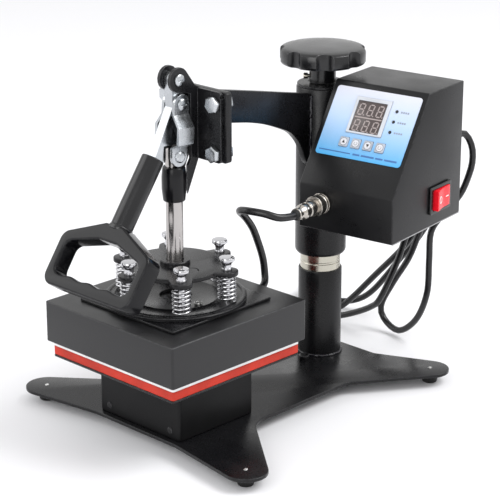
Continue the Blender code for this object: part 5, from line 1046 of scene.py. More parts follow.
@dataclass
class HeaterLead:
    """The heater cable, its screwed plug and its two fittings."""

    radius: float = 0.0033
    step: float = 0.004
    socket: Point = (0.0512, -0.0762, 0.1863)
    gland: Point = (0.0100, 0.0790, 0.1044)
    gland_long: float = 0.0090
    gland_mouth: float = 0.0018
    plug_end: float = 0.0406
    flange: Outline = ((0.0062, -0.0115), (0.0062, 0.0003), (0.0095, 0.0003),
                       (0.0095, 0.0030), (0.0070, 0.0030), (0.0070, 0.0090))
    ring: Outline = ((0.0074, 0.0034), (0.0090, 0.0034), (0.0090, 0.0052), (0.0086, 0.0056),
                     (0.0086, 0.0110), (0.0090, 0.0114), (0.0090, 0.0133), (0.0068, 0.0133))
    knurls: int = 36
    knurl_share: float = 0.022
    plug: Outline = ((0.0068, 0.0130), (0.0068, 0.0240), (0.0061, 0.0246), (0.0061, 0.0262),
                     (0.0068, 0.0268), (0.0068, 0.0322), (0.0052, 0.0350), (0.0050, 0.0388),
                     (0.0055, 0.0390), (0.0055, 0.0403), (0.0036, 0.0406))
    grommet: Outline = ((0.0046, 0.0398), (0.0046, 0.0425), (0.0040, 0.0440),
                        (0.0034, 0.0445))
    screw_at: Point = (0.0066, 0, 0.0295)
    screw_turn: float = 0.6
    screw_radius: float = 0.0011
    screw_tall: float = 0.0005
    nut: Outline = ((0.0080, 0.0001), (0.0080, 0.0030), (0.0066, 0.0030))
    dome: Outline = ((0.0062, 0.0025), (0.0062, 0.0072), (0.0058, 0.0082), (0.0048, 0.0090),
                     (0.0036, 0.0091))

    def build(self) -> None:
        """Make the cable, then the plug, the socket and the gland."""
        out = SWING @ aim((0, -1, 0), self.socket)
        start = out @ Vector((0, 0, self.plug_end))
        heading = SWING.to_3x3() @ Vector((0, -1, 0))
        mouth = BED @ (Vector(self.gland) + Vector((0, self.gland_mouth, 0)))
        back = Vector((0, -1, 0))
        route = [start, start + heading * self.radius * 2]
        route += [BED @ Vector(point) for point in HEATER_ROUTE]
        route += [mouth - back * (self.gland_long + self.radius), mouth]
        path = smooth_route(route, self.step)
        cable = as_mesh(tube_curve("heater_lead", path, self.radius))
        keep(cable, "swing_head", JACKET, "heater_cable")
        self.connector(out)
        self.gland_nut(BED @ aim((0, 1, 0), self.gland))

    def knurl(self, angle: float) -> float:
        """The share of its radius that the coupling ring reaches at an angle."""
        return 1 + self.knurl_share * abs(math.sin(self.knurls / 2 * angle))

    def connector(self, out: Matrix) -> None:
        """The nickelled socket on the box and the plug screwed onto it.

        Args:
            out: the frame whose +Z leaves the box.
        """
        flange = soften(turned("socket_flange", self.flange), Edge.TURNED)
        fit(flange, out, "swing_head", NICKEL, "heater_socket")
        ring = soften(turned("coupling_ring", self.ring, reach=self.knurl), Edge.SMALL)
        fit(ring, out, "swing_head", NICKEL)
        plug = soften(turned("screwed_plug", self.plug, steps=60), Edge.MOULDED)
        fit(plug, out, "swing_head", NICKEL, "heater_plug")
        grip = soften(turned("plug_grommet", self.grommet, steps=40), Edge.SMALL)
        fit(grip, out, "swing_head", RUBBER)
        for number, angle in enumerate((self.screw_turn, self.screw_turn + math.pi)):
            at = out @ Matrix.Rotation(angle, 4, "Z") @ aim((1, 0, 0), self.screw_at)
            screw = pan_screw(f"plug_screw_{number + 1}", self.screw_radius, self.screw_tall,
                              at)
            keep(screw, "swing_head", STEEL_SCREW)

    def gland_nut(self, back: Matrix) -> None:
        """The nut on the shell that grips the cable."""
        nut = soften(turned("gland_nut", self.nut, steps=HEXAGON), Edge.TURNED)
        fit(nut, back, "platen", ZINC)
        fit(turned("gland_dome", self.dome, steps=MEDIUM), back, "platen", RUBBER)


def pan_screw(name: str, radius: float, tall: float, place: Matrix) -> bpy.types.Object:
    """A pan head with a slot across it.

    Args:
        name: the piece's name.
        radius: of the head.
        tall: its height.
        place: the frame whose +Z leaves the surface.

    Returns:
        The screw head.
    """
    floor = tall * 0.45
    head = turned(name, [(radius, -tall * 0.3), (radius, floor), (radius * 0.88, tall * 0.8),
                         (radius * 0.6, tall)], steps=COARSE)
    long, half = radius * 2, radius * 0.14
    slot = slab("screw_slot", rectangle(-long, long, -half, half), floor, tall * 2)
    combine(head, slot, "DIFFERENCE")
    return smooth(settle(head, place))


def weld_bead(name: str, path: Sequence[Vector], radius: float) -> bpy.types.Object:
    """A rippled bead of weld along a path."""
    bead = as_mesh(tube_curve(name, path, radius, 3))
    ripple(bead, 420, radius * 0.45)
    return bead


@dataclass
class Base:
    """The base plate on its four feet, the pedestal and the bed."""

    foot_tall: float = 0.0097
    foot_screw_radius: float = 0.0019
    foot_screw_tall: float = 0.0007
    plate_low: float = 0.0100
    plate_top: float = 0.0132
    front_foot: Pair = (0.1255, -0.0427)
    front_reach: float = 0.0188
    rear_foot: Pair = (0.0965, 0.2300)
    rear_reach: float = 0.0175
    shoulder: Pair = (0.0500, -0.0500)
    front_root: Pair = (0.0645, 0.0305)
    rear_root: Pair = (0.0645, 0.1515)
    notch: Pair = (0.0360, 0.2215)
    web_fillet: float = 0.0300
    corner_fillet: float = 0.0120
    pedestal_half_x: float = 0.0503
    pedestal_front: float = 0.0445
    pedestal_back: float = 0.0430
    pedestal_low: float = 0.0135
    pedestal_top: float = 0.0651
    pedestal_corner: float = 0.0030
    wall: float = 0.0020
    rivet: Outline = ((0.0032, -0.0003), (0.0032, 0.0002), (0.0028, 0.0007),
                      (0.0016, 0.0010))
    rivet_x: float = 0.0380
    rivet_up: float = 0.0205
    bed_half: float = 0.0750
    bed_corner: float = 0.0025
    bed_low: float = 0.0654
    bed_top: float = 0.0672
    pad_low: float = 0.0675
    pad_top: float = 0.0753
    ragged: float = 0.0005
    rag_scale: float = 120.0

    def feet(self) -> dict[str, Pair]:
        """The feet's centres by name."""
        (front_x, front_y), (rear_x, rear_y) = self.front_foot, self.rear_foot
        return {"foot_front_left": (-front_x, front_y), "foot_front_right": (front_x, front_y),
                "foot_rear_right": (rear_x, rear_y), "foot_rear_left": (-rear_x, rear_y)}

    def outline(self) -> list[Pair]:
        """The plate's outline: a web with four splayed arms."""
        front = wrap_round(self.shoulder, self.front_foot, self.front_reach, self.front_root)
        rear = wrap_round(self.rear_root, self.rear_foot, self.rear_reach, self.notch)
        half = [(*self.shoulder, self.corner_fillet)]
        half += [(x, y, 0) for x, y in front]
        half += [(*self.front_root, self.web_fillet), (*self.rear_root, self.corner_fillet)]
        half += [(x, y, 0) for x, y in rear]
        half += [(*self.notch, self.corner_fillet)]
        return rounded(half + [(-x, y, radius) for x, y, radius in reversed(half)], 10)

    def build(self) -> None:
        """Make everything that stands still."""
        plate = slab("base_sheet", self.outline(), self.plate_low, self.plate_top)
        fit(soften(plate, Edge.SHEARED), BED, "base", BLACK_PAINT, "base_plate")
        self.foot_set()
        self.pedestal()
        outline = rounded_box(self.bed_half, self.bed_half, self.bed_corner)
        tray = slab("bed_sheet", outline, self.bed_low, self.bed_top)
        fit(soften(tray, Edge.PRESSED), BED, "base", BLACK_PAINT, "lower_plate")
        self.pad(outline)

    def foot_set(self) -> None:
        """Model one rubber foot with its screw head, and copy both."""
        profile = [(0.0058, 0), (0.0068, 0.0006), (0.0070, 0.0018), (0.0076, 0.0062),
                   (0.0079, 0.0072), (0.0079, self.foot_tall)]
        foot = soften(turned("foot", profile, steps=MEDIUM), Edge.PRESSED)
        for name, (x, y) in self.feet().items():
            at = BED @ Matrix.Translation((x, y, 0))
            fit_twin(foot, name + "_rubber", at, "base", RUBBER, name)
            top = at @ Matrix.Translation((0, 0, self.plate_top))
            screw = pan_screw(name + "_screw", self.foot_screw_radius, self.foot_screw_tall,
                              top)
            keep(screw, "base", STEEL_SCREW)
        discard(foot)

    def pedestal(self) -> None:
        """The box under the bed, with its rivets."""
        middle = (0, (self.pedestal_back - self.pedestal_front) / 2)
        half_x = self.pedestal_half_x
        half_y = (self.pedestal_front + self.pedestal_back) / 2
        outer = rounded_box(half_x, half_y, self.pedestal_corner, middle)
        inner = rounded_box(half_x - self.wall, half_y - self.wall, self.wall, middle)
        box = slab("pedestal_box", outer, self.pedestal_low, self.pedestal_top)
        soften(box, Edge.FOLDED)
        hollow = slab("hollow", inner, self.pedestal_low - OVERRUN,
                      self.pedestal_top - self.wall)
        combine(box, hollow, "DIFFERENCE")
        fit(box, BED, "base", SHADE_PAINT, "pedestal")
        rivet = turned("rivet", self.rivet, steps=28)
        number = 0
        for side, face in ((-1, -self.pedestal_front), (1, self.pedestal_back)):
            for x in (-self.rivet_x, self.rivet_x):
                number += 1
                at = BED @ aim((0, side, 0), (x, face, self.rivet_up))
                fit_twin(rivet, f"pedestal_rivet_{number}", at, "base", BLACK_PAINT)
        discard(rivet)

    def pad(self, outline: Sequence[Pair]) -> None:
        """The silicone pad, cut a little ragged.

        Args:
            outline: the bed's outline.
        """
        pad = slab("press_pad", outline, self.pad_low, self.pad_top)
        pick(pad)
        bpy.ops.object.mode_set(mode="EDIT")
        bpy.ops.mesh.select_all(action="DESELECT")
        mesh = bmesh.from_edit_mesh(pad.data)
        for edge in mesh.edges:
            edge.select_set(edge.calc_length() > 0.02)
        bmesh.update_edit_mesh(pad.data)
        bpy.ops.mesh.subdivide(number_cuts=40)
        bpy.ops.object.mode_set(mode="OBJECT")
        soften(pad, Edge.PLATE)
        for vert in pad.data.vertices:
            wander = noise.noise(vert.co * self.rag_scale) * self.ragged
            flat = Vector((vert.co.x, vert.co.y, 0)).normalized()
            vert.co -= flat * abs(wander)
        fit(pad, BED, "base", RED_SILICONE, "silicone_pad")


@dataclass
class Column:
    """The fixed tube, the plated post in it, the sleeve with its cap, and the knob."""

    tube_radius: float = 0.0202
    tube_low: float = 0.0135
    tube_top: float = 0.0965
    post_radius: float = 0.0187
    post_top: float = 0.2485
    waist_deep: float = 0.0004
    weld_out: float = 0.0205
    weld_up: float = 0.0138
    weld_radius: float = 0.0013
    nut: Outline = ((0.0052, 0.0132), (0.0052, 0.0170), (0.0030, 0.0171))
    nut_at: Point = (-0.0020, 0.1650, 0)
    sleeve_bore: float = 0.0209
    sleeve_radius: float = 0.0236
    sleeve_low: float = 0.1121
    sleeve_top: float = 0.2695
    weld_plate_half: Pair = (0.0180, 0.0300)
    weld_plate_corner: float = 0.0015
    weld_plate_up: float = 0.2161
    weld_plate_in: float = 0.0222
    weld_plate_out: float = 0.0267
    cap: Outline = ((0.0200, 0.2600), (0.0200, 0.2698), (0.0226, 0.2698), (0.0230, 0.2702),
                    (0.0230, 0.2715), (0.0225, 0.2720), (0.0140, 0.2721), (0.0135, 0.2716))
    knob_radius: float = 0.0390
    knob_low: float = 0.2902
    knob_tall: float = 0.0143
    lobes: int = 8
    notch_out: float = 0.0053
    notch_radius: float = 0.0100
    neck: Outline = ((0.0112, 0.2724), (0.0121, 0.2728), (0.0121, 0.2860), (0.0130, 0.2890),
                     (0.0150, 0.2935), (0.0150, 0.2945))
    lock_screw: Outline = ((0.0016, -0.0010), (0.0016, 0.0012), (0.0027, 0.0014),
                           (0.0027, 0.0050), (0.0020, 0.0054), (0.0012, 0.0055))
    lock_heading: Point = (-0.716, -0.698, 0)
    lock_out: float = 0.0119
    lock_up: float = 0.2778

    def build(self) -> None:
        """Make the column from the floor up."""
        self.fixed_part()
        self.sleeve()
        self.knob()

    def fixed_part(self) -> None:
        """The tube with its weld, and the post."""
        radius, low, top = self.tube_radius, self.tube_low, self.tube_top
        bore = self.post_radius + GAP
        tube = turned("column_tube", [
            (radius, low), (radius, top - 0.0008), (radius - 0.0003, top - 0.0002),
            (radius - 0.0008, top), (bore, top), (bore, low)])
        fit(tube, COLUMN, "base", BLACK_PAINT, "lower_column")
        radius, waist = self.post_radius, self.post_radius - self.waist_deep
        post = turned("plated_post", [
            (radius - 0.0005, low), (radius, low + 0.0005), (radius, top + 0.0062),
            (waist, top + 0.0066), (waist, top + 0.0080), (radius, top + 0.0084),
            (radius, self.post_top)])
        fit(post, COLUMN, "base", POST_ZINC, "inner_post")
        ring = level_arc(self.weld_out, self.weld_up, 0, FULL_TURN, 90)
        bead = weld_bead("column_weld", ring, self.weld_radius)
        keep(settle(bead, COLUMN), "base", WELD_PAINT)
        boss = soften(turned("column_nut", self.nut, steps=HEXAGON), Edge.TURNED)
        fit(boss, BED @ Matrix.Translation(self.nut_at), "base", BLACK_PAINT)

    def sleeve(self) -> None:
        """The turning sleeve with the box's weld plate, and its cap."""
        radius, low, top = self.sleeve_radius, self.sleeve_low, self.sleeve_top
        bore = self.sleeve_bore
        sleeve = turned("head_sleeve", [
            (bore, low), (radius - 0.0016, low), (radius - 0.0004, low + 0.0016),
            (radius, low + 0.0035), (radius, top - 0.0010), (radius - 0.0006, top),
            (bore, top), (bore, low + 0.0001)])
        fit(sleeve, SWING, "swing_head", BLACK_PAINT, "swing_sleeve")
        outline = rounded_box(*self.weld_plate_half, self.weld_plate_corner,
                              (0, self.weld_plate_up))
        plate = slab("weld_plate", outline, self.weld_plate_in, self.weld_plate_out,
                     Plane.SIDE)
        fit(soften(plate, Edge.SAWN), SWING, "swing_head", BLACK_PAINT)
        fit(turned("cap_ring", self.cap), SWING, "swing_head", BLACK_PAINT, "sleeve_cap")

    def knob(self) -> None:
        """The star knob, its neck and the small screw beside it."""
        low, high, full = self.knob_low, self.knob_low + self.knob_tall, self.knob_radius
        star = turned("star_grip", [
            (full * 0.50, low + 0.0030), (full * 0.80, low + 0.0028), (full * 0.83, low + 0.0004),
            (full - 0.0030, low), (full - 0.0010, low + 0.0008), (full, low + 0.0026),
            (full, high - 0.0030), (full - 0.0006, high - 0.0014), (full - 0.0020, high - 0.0003),
            (full - 0.0042, high + 0.0004), (full * 0.72, high + 0.0011),
            (full * 0.40, high + 0.0018), (full * 0.10, high + 0.0020)], steps=128)
        for lobe in range(self.lobes):
            angle = FULL_TURN * lobe / self.lobes
            spot = Vector((math.cos(angle), math.sin(angle), 0)) * (full + self.notch_out)
            notch = turned("notch", [(self.notch_radius, low - OVERRUN),
                                     (self.notch_radius, high + 2 * OVERRUN)],
                           Matrix.Translation(spot), MEDIUM)
            combine(star, notch, "DIFFERENCE")
        fit(soften(star, Edge.ROUND), COLUMN, "knob", KNOB_PLASTIC, "star_knob")
        fit(turned("knob_neck", self.neck), COLUMN, "knob", KNOB_PLASTIC)
        screw = soften(turned("lock_screw", self.lock_screw, steps=24), Edge.SMALL)
        sideways = Vector(self.lock_heading)
        at = COLUMN @ aim(sideways, sideways * self.lock_out + Vector((0, 0, self.lock_up)))
        fit(screw, at, "knob", POST_ZINC)


@dataclass
class HeadArm:
    """The arm from the sleeve, the mount plate, the toggle bracket and its bolts."""

    sleeve_low: float = 0.1121
    half: float = 0.0030
    top: Outline = ((0.0239, 0.1545), (0.0629, 0.1633), (0.0933, 0.1704), (0.1343, 0.1798),
                    (0.1680, 0.1873))
    under: Outline = ((0.1680, 0.1587), (0.1427, 0.1532), (0.1166, 0.1476),
                      (0.0927, 0.1407), (0.0713, 0.1326), (0.0556, 0.1255),
                      (0.0461, 0.1183), (0.0396, 0.1113), (0.0347, 0.1036),
                      (0.0300, 0.0940), (0.0239, 0.0875))
    under_step: float = 0.004
    weld_x: float = 0.0033
    weld_y: float = -0.0234
    weld_low: float = 0.2005
    weld_step: float = 0.0022
    weld_points: int = 30
    weld_radius: float = 0.0016
    mount_half: float = 0.0388
    mount_low: float = 0.2397
    mount_top: float = 0.3004
    mount_front: float = 0.0241
    mount_back: float = 0.0301
    mount_corner: float = 0.0030
    peep_x: float = 0.0345
    peep_up: float = 0.2962
    peep_radius: float = 0.0014
    bolt_x: float = 0.0274
    bolt_up: float = 0.2683
    bolt_rise: float = 0.0211
    head_seat: float = 0.0207
    nut_seat: float = 0.0304
    turn_across: float = 14.0
    turn_up: float = 20.0
    head: Outline = ((0.0074, 0), (0.0075, 0.0044), (0.0066, 0.0052), (0.0045, 0.0053))
    washer: Outline = ((0.0086, -0.0001), (0.0086, 0.0009), (0.0060, 0.0010))
    nut: Outline = ((0.0075, 0), (0.0075, 0.0055), (0.0067, 0.0063), (0.0042, 0.0065),
                    (0.0038, 0.0070), (0.0038, 0.0085), (0.0030, 0.0090))
    bush: Outline = ((0.0078, 0.2059), (0.0090, 0.2059), (0.0095, 0.2064), (0.0098, 0.2090),
                     (0.0106, 0.2163), (0.0106, 0.2267), (0.0098, 0.2340), (0.0094, 0.2352),
                     (0.0090, 0.2356), (0.0077, 0.2356), (0.0077, 0.2061))
    pin_end: float = 0.0078
    pin_up: float = 0.3103

    def build(self) -> None:
        """Make the arm and what is bolted to it."""
        self.arm()
        self.mount()
        self.bolts()
        self.pivots()
        dress(BLACK_PAINT, "toggle_bracket_left", "toggle_bracket_right")

    def arm(self) -> None:
        """The cut plate with its curved underside, and its weld."""
        under = [Vector((-ahead, self.sleeve_low + up, 0)) for ahead, up in self.under]
        lead = [under[0] * 2 - under[1]] + under + [under[-1] * 2 - under[-2]]
        curve = smooth_route(lead, self.under_step)[1:-1]
        outline = [(-ahead, self.sleeve_low + up) for ahead, up in self.top]
        outline += [(point.x, point.y) for point in curve]
        arm = slab("cut_arm", outline, -self.half, self.half, Plane.SIDE)
        settle(soften(arm, Edge.PLATE), SWING)
        room = slab("plate_room", rectangle(-0.06, 0.06, -0.08, self.mount_back + GAP), 0.20,
                    0.34, place=BED)
        combine(arm, room, "DIFFERENCE")
        keep(smooth(arm), "swing_head", BLACK_PAINT, "swing_arm")
        for side, name in ((-1, "arm_weld_left"), (1, "arm_weld_right")):
            path = [Vector((side * self.weld_x, self.weld_y, self.weld_low + self.weld_step * step))
                    for step in range(self.weld_points)]
            keep(settle(weld_bead(name, path, self.weld_radius), SWING), "swing_head",
                 WELD_PAINT)

    def mount(self) -> None:
        """The plate on the arm's end, with its two peep holes."""
        middle = (0, (self.mount_low + self.mount_top) / 2)
        outline = rounded_box(self.mount_half, (self.mount_top - self.mount_low) / 2,
                              self.mount_corner, middle)
        plate = slab("arm_plate", outline, self.mount_front, self.mount_back, Plane.FRONT)
        soften(plate, Edge.SHEARED)
        for x in (-self.peep_x, self.peep_x):
            hole = turned("hole", [(self.peep_radius, 0), (self.peep_radius, 0.05)],
                          aim((0, 1, 0), (x, 0, self.peep_up)), 24)
            combine(plate, hole, "DIFFERENCE")
        fit(plate, BED, "swing_head", BLACK_PAINT, "mount_plate")

    def bolts(self) -> None:
        """One hexagon bolt with its washer and nut, copied four times."""
        head = soften(turned("bolt", self.head, steps=HEXAGON), Edge.PRESSED)
        washer = turned("washer", self.washer, steps=MEDIUM)
        nut = soften(turned("nut", self.nut, steps=HEXAGON), Edge.PRESSED)
        for high, rise in (("upper", self.bolt_rise), ("lower", -self.bolt_rise)):
            for hand, x in (("left", -self.bolt_x), ("right", self.bolt_x)):
                name = f"mount_bolt_{high}_{hand}"
                front = BED @ aim((0, -1, 0), (x, self.head_seat, self.bolt_up + rise))
                back = BED @ aim((0, 1, 0), (x, self.nut_seat, self.bolt_up + rise))
                turn = Matrix.Rotation(self.turn_across * x + self.turn_up * rise, 4, "Z")
                fit_twin(head, name + "_head", front @ turn, "swing_head", ZINC, name)
                fit_twin(nut, name + "_nut", back @ turn, "swing_head", ZINC)
                fit_twin(washer, name + "_washer", back, "swing_head", ZINC)
        discard(head, washer, nut)

    def pivots(self) -> None:
        """The guide bush and the upper pivot pin."""
        fit(turned("rod_bush", self.bush), BED, "swing_head", BUSH_PLASTIC, "guide_bush")
        at = BED @ Matrix.Translation((0, 0, self.pin_up))
        fit(crowned_pin("upper_pin", self.pin_end), at, "swing_head", ZINC, "top_pivot_pin")


def crowned_pin(name: str, end: float) -> bpy.types.Object:
    """A pin along X with a crown outside each end, one slotted.

    Args:
        name: the piece's name.
        end: where each crown starts.

    Returns:
        The pin.
    """
    crown = end + 0.0022
    half = [(0.0035, end), (0.0052, end), (0.0050, end + 0.0012), (0.0038, crown - 0.0002),
            (0.0020, crown)]
    profile = [(radius, -height) for radius, height in reversed(half)] + half
    pin = turned(name, profile, steps=MEDIUM)
    slot = slab("slot", rectangle(-0.0030, 0.0030, -0.0004, 0.0004), crown - 0.0010,
                crown + 0.001)
    combine(pin, slot, "DIFFERENCE")
    return settle(pin, aim((1, 0, 0), (0, 0, 0)))


@dataclass
class Lever:
    """The toggle lever with its tube and D grip, and the link under it."""

    link_pivot_up: float = 0.289111
    over_centre: float = 0.0030
    rod_pivot_up: float = 0.24491
    pin_end: float = 0.0078
    tube_radius: float = 0.0097
    tube_long: float = 0.0640
    tube_mouth: Outline = ((0.0068, -0.0003), (0.0066, -0.0006), (0.0066, -0.0030))
    neck_radius: float = 0.0047
    neck_long: float = 0.0110
    stud: Outline = ((0.0025, -0.0031), (0.0025, 0.0120), (0.0020, 0.0128))
    stud_off: float = 0.0022
    grip_deep: float = 0.0172
    bar_half: float = 0.0528
    bar_down: float = 0.1284
    bar_thick: float = 0.0105
    shoulder_half: float = 0.0533
    shoulder_down: float = 0.0822
    boss_half: float = 0.0105
    boss_down: float = 0.0643
    boss_corner: float = 0.002
    crown_corner: float = 0.003
    wall: float = 0.0085
    crown_thick: float = 0.0150
    corner: float = 0.0100
    slant_share: float = 0.8
    bumps: int = 3
    bump_pitch: float = 0.0230
    bump_tall: float = 0.0016
    bump_steps: int = 20
    collar: Outline = ((0.0104, -0.0030), (0.0104, 0.0002), (0.0098, 0.0010))

    def build(self) -> None:
        """Make the lever's pieces and dress its channel and straps."""
        dress(ZINC, "lever_channel", "link_strap_left", "link_strap_right")
        lean = math.atan2(self.over_centre, self.link_pivot_up - self.rod_pivot_up)
        link = (BED @ Matrix.Translation((0, self.over_centre, self.link_pivot_up))
                @ Matrix.Rotation(-lean, 4, "X"))
        fit(crowned_pin("lower_pin", self.pin_end), link, "link", ZINC, "link_pin")
        self.tube()
        self.grip()

    def tube(self) -> None:
        """The painted tube, hollow at its upper end."""
        radius, neck, long = self.tube_radius, self.neck_radius, self.tube_long
        tube = turned("grip_tube", [
            (neck, -long - self.neck_long), (neck, -long), (radius - 0.0012, -long),
            (radius, -long + 0.0012), (radius, -0.0009), (radius - 0.0005, -0.0003),
            *self.tube_mouth])
        fit(tube, HANDLE, "lever", GLOSS_PAINT, "handle_tube")
        stud = turned("tube_stud", self.stud, Matrix.Translation((0, self.stud_off, 0)),
                      COARSE)
        fit(stud, HANDLE, "lever", ZINC)

    def outside(self) -> list[Pair]:
        """The grip seen square on."""
        return rounded([
            (-self.bar_half, -self.bar_down, self.corner),
            (self.bar_half, -self.bar_down, self.corner),
            (self.shoulder_half, -self.shoulder_down, self.corner),
            (self.boss_half, -self.boss_down, self.boss_corner),
            (-self.boss_half, -self.boss_down, self.boss_corner),
            (-self.shoulder_half, -self.shoulder_down, self.corner)], 12)

    def opening(self) -> list[Pair]:
        """The hand hole with its finger bumps."""
        bar = -self.bar_down + self.bar_thick
        corner = self.corner - self.wall / 4
        half_bar = self.bar_half - self.wall
        half_shoulder = self.shoulder_half - self.wall
        shoulder = -self.shoulder_down - self.wall * self.slant_share
        crown = -self.boss_down - self.crown_thick
        rest = rounded([
            (half_bar, bar, corner), (half_shoulder, shoulder, corner),
            (self.boss_half, crown, self.crown_corner),
            (-self.boss_half, crown, self.crown_corner),
            (-half_shoulder, shoulder, corner), (-half_bar, bar, corner)], 10)
        steps = self.bump_steps * self.bumps
        span = self.bump_pitch * self.bumps
        wave = []
        for step in range(1, steps):
            share = step / steps
            rise = self.bump_tall * (1 - math.cos(FULL_TURN * self.bumps * share)) / 2
            wave.append((span * (share - 0.5), bar + rise))
        return rest + wave

    def grip(self) -> None:
        """The moulded grip with its rounded edges."""
        deep = self.grip_deep
        grip = slab("hand_grip", self.outside(), -deep / 2, deep / 2, Plane.FRONT)
        hole = slab("hand_hole", self.opening(), -deep, deep, Plane.FRONT)
        combine(grip, hole, "DIFFERENCE")
        fit(soften(grip, Edge.GRIP), HANDLE, "lever", GRIP_PLASTIC, "d_grip")
        profile = [(radius, height - self.tube_long) for radius, height in self.collar]
        collar = soften(turned("grip_collar", profile, steps=60), Edge.TURNED)
        fit(collar, HANDLE, "lever", KNOB_PLASTIC)


@dataclass
class Plunger:
    """The rod, the spider plate on it and the six springs under that."""

    rod_radius: float = 0.0074
    rod_flat: float = 0.0044
    rod_pivot_up: float = 0.24491
    rod_foot: Outline = ((0.0110, 0.1384), (0.0115, 0.1389), (0.0115, 0.1449),
                         (0.0110, 0.1454))
    flat_drop: float = 0.0155
    chamfer: float = 0.0010
    spider_low: float = 0.1457
    spider_top: float = 0.1497
    spider_radius: float = 0.0425
    bore: float = 0.0077
    boss: Outline = ((0.0077, 0.1490), (0.0133, 0.1490), (0.0130, 0.1503), (0.0127, 0.1530),
                     (0.0121, 0.1537), (0.0077, 0.1537), (0.0077, 0.1492))
    lobe: float = 0.0098
    slot_at: Pair = (0.0231, -0.0028)
    slot_out: float = 0.0062
    slot_in: float = 0.0050
    slot_start: float = math.radians(25)
    slot_end: float = math.radians(150)
    post_at: float = 0.0475
    phase: float = math.radians(22.6)
    posts: int = 6
    spring_low: float = 0.1218
    spring_long: float = 0.0236
    spring_radius: float = 0.0072
    wire: float = 0.0020
    turns: int = 6
    coil_turn: float = 0.7
    travel: float = 0.0030

    def places(self) -> list[Pair]:
        """The six posts."""
        angles = [self.phase + FULL_TURN * index / self.posts for index in range(self.posts)]
        return [(self.post_at * math.cos(angle), self.post_at * math.sin(angle))
                for angle in angles]

    def spider_outline(self) -> list[Pair]:
        """A disc with a lobe round each post, their roots filleted."""
        steps = 360
        reaches = []
        for step in range(steps):
            angle = FULL_TURN * step / steps
            reach = self.spider_radius
            for index in range(self.posts):
                off = angle - FULL_TURN * index / self.posts
                across = self.post_at * math.sin(off)
                if abs(across) < self.lobe and math.cos(off) > 0:
                    tip = self.post_at * math.cos(off) + math.sqrt(self.lobe ** 2 - across ** 2)
                    reach = max(reach, tip)
            reaches.append(reach)
        points = []
        for step in range(steps):
            near = [reaches[(step + shift) % steps] for shift in (-2, -1, 0, 1, 2)]
            angle = FULL_TURN * step / steps + self.phase
            reach = sum(near) / len(near)
            points.append((reach * math.cos(angle), reach * math.sin(angle)))
        return points

    def build(self) -> None:
        """Make the rod, the spider and the springs."""
        self.rod()
        plate = slab("spider", self.spider_outline(), self.spider_low, self.spider_top)
        soften(plate, Edge.PLATE)
        combine(plate, turned("bore", [(self.bore, 0.14), (self.bore, 0.16)]), "DIFFERENCE")
        self.curved_slot(plate)
        fit(plate, BED, "plunger", BLACK_PAINT, "spider_plate")
        fit(turned("spider_boss", self.boss), BED, "plunger", BLACK_PAINT)
        self.springs()

    def rod(self) -> None:
        """The ground rod, flattened at its pivot."""
        top = self.rod_pivot_up + self.rod_radius
        rod = turned("ground_rod", [
            *self.rod_foot, (self.rod_radius, 0.1454), (self.rod_radius, top - self.chamfer),
            (self.rod_radius - self.chamfer, top)])
        for low, high in ((-0.02, -self.rod_flat), (self.rod_flat, 0.02)):
            flat = slab("flat", rectangle(low, high, -0.02, 0.02),
                        self.rod_pivot_up - self.flat_drop, top + OVERRUN)
            combine(rod, flat, "DIFFERENCE")
        fit(rod, BED, "plunger", ROD_CHROME, "plunger_rod")

    def curved_slot(self, plate: bpy.types.Object) -> None:
        """Cut the short curved slot beside the boss."""
        first = arc(self.slot_at, self.slot_out, self.slot_start, self.slot_end, 20)
        second = arc(self.slot_at, self.slot_in, self.slot_end, self.slot_start, 20)
        slot = slab("slot", first + second, self.spider_low - OVERRUN,
                    self.spider_top + OVERRUN)
        combine(plate, slot, "DIFFERENCE")

    def springs(self) -> None:
        """Wind one spring, and copy it onto each post."""
        deselect()
        wire = self.wire / 2
        bpy.ops.mesh.primitive_circle_add(vertices=14, radius=wire, fill_type="NOTHING",
                                          location=(self.spring_radius, 0, wire),
                                          rotation=(math.pi / 2, 0, 0))
        spring = bpy.context.object
        bpy.ops.object.transform_apply(location=True, rotation=True, scale=True)
        pitch = (self.spring_long - self.wire) / self.turns
        modify(spring, "SCREW", axis="Z", steps=28, render_steps=28, screw_offset=pitch,
               iterations=self.turns, use_merge_vertices=False)
        bpy.ops.object.mode_set(mode="EDIT")
        bpy.ops.mesh.select_all(action="SELECT")
        bpy.ops.mesh.fill_holes(sides=0)
        close_up()
        for index, (x, y) in enumerate(self.places()):
            at = (BED @ Matrix.Translation((x, y, self.spring_low))
                  @ Matrix.Rotation(self.coil_turn * index, 4, "Z"))
            coil = fit_twin(spring, f"spring_coil_{index + 1}", at, "platen", CHROME,
                            f"pressure_spring_{index + 1}")
            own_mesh(coil)
        discard(spring)


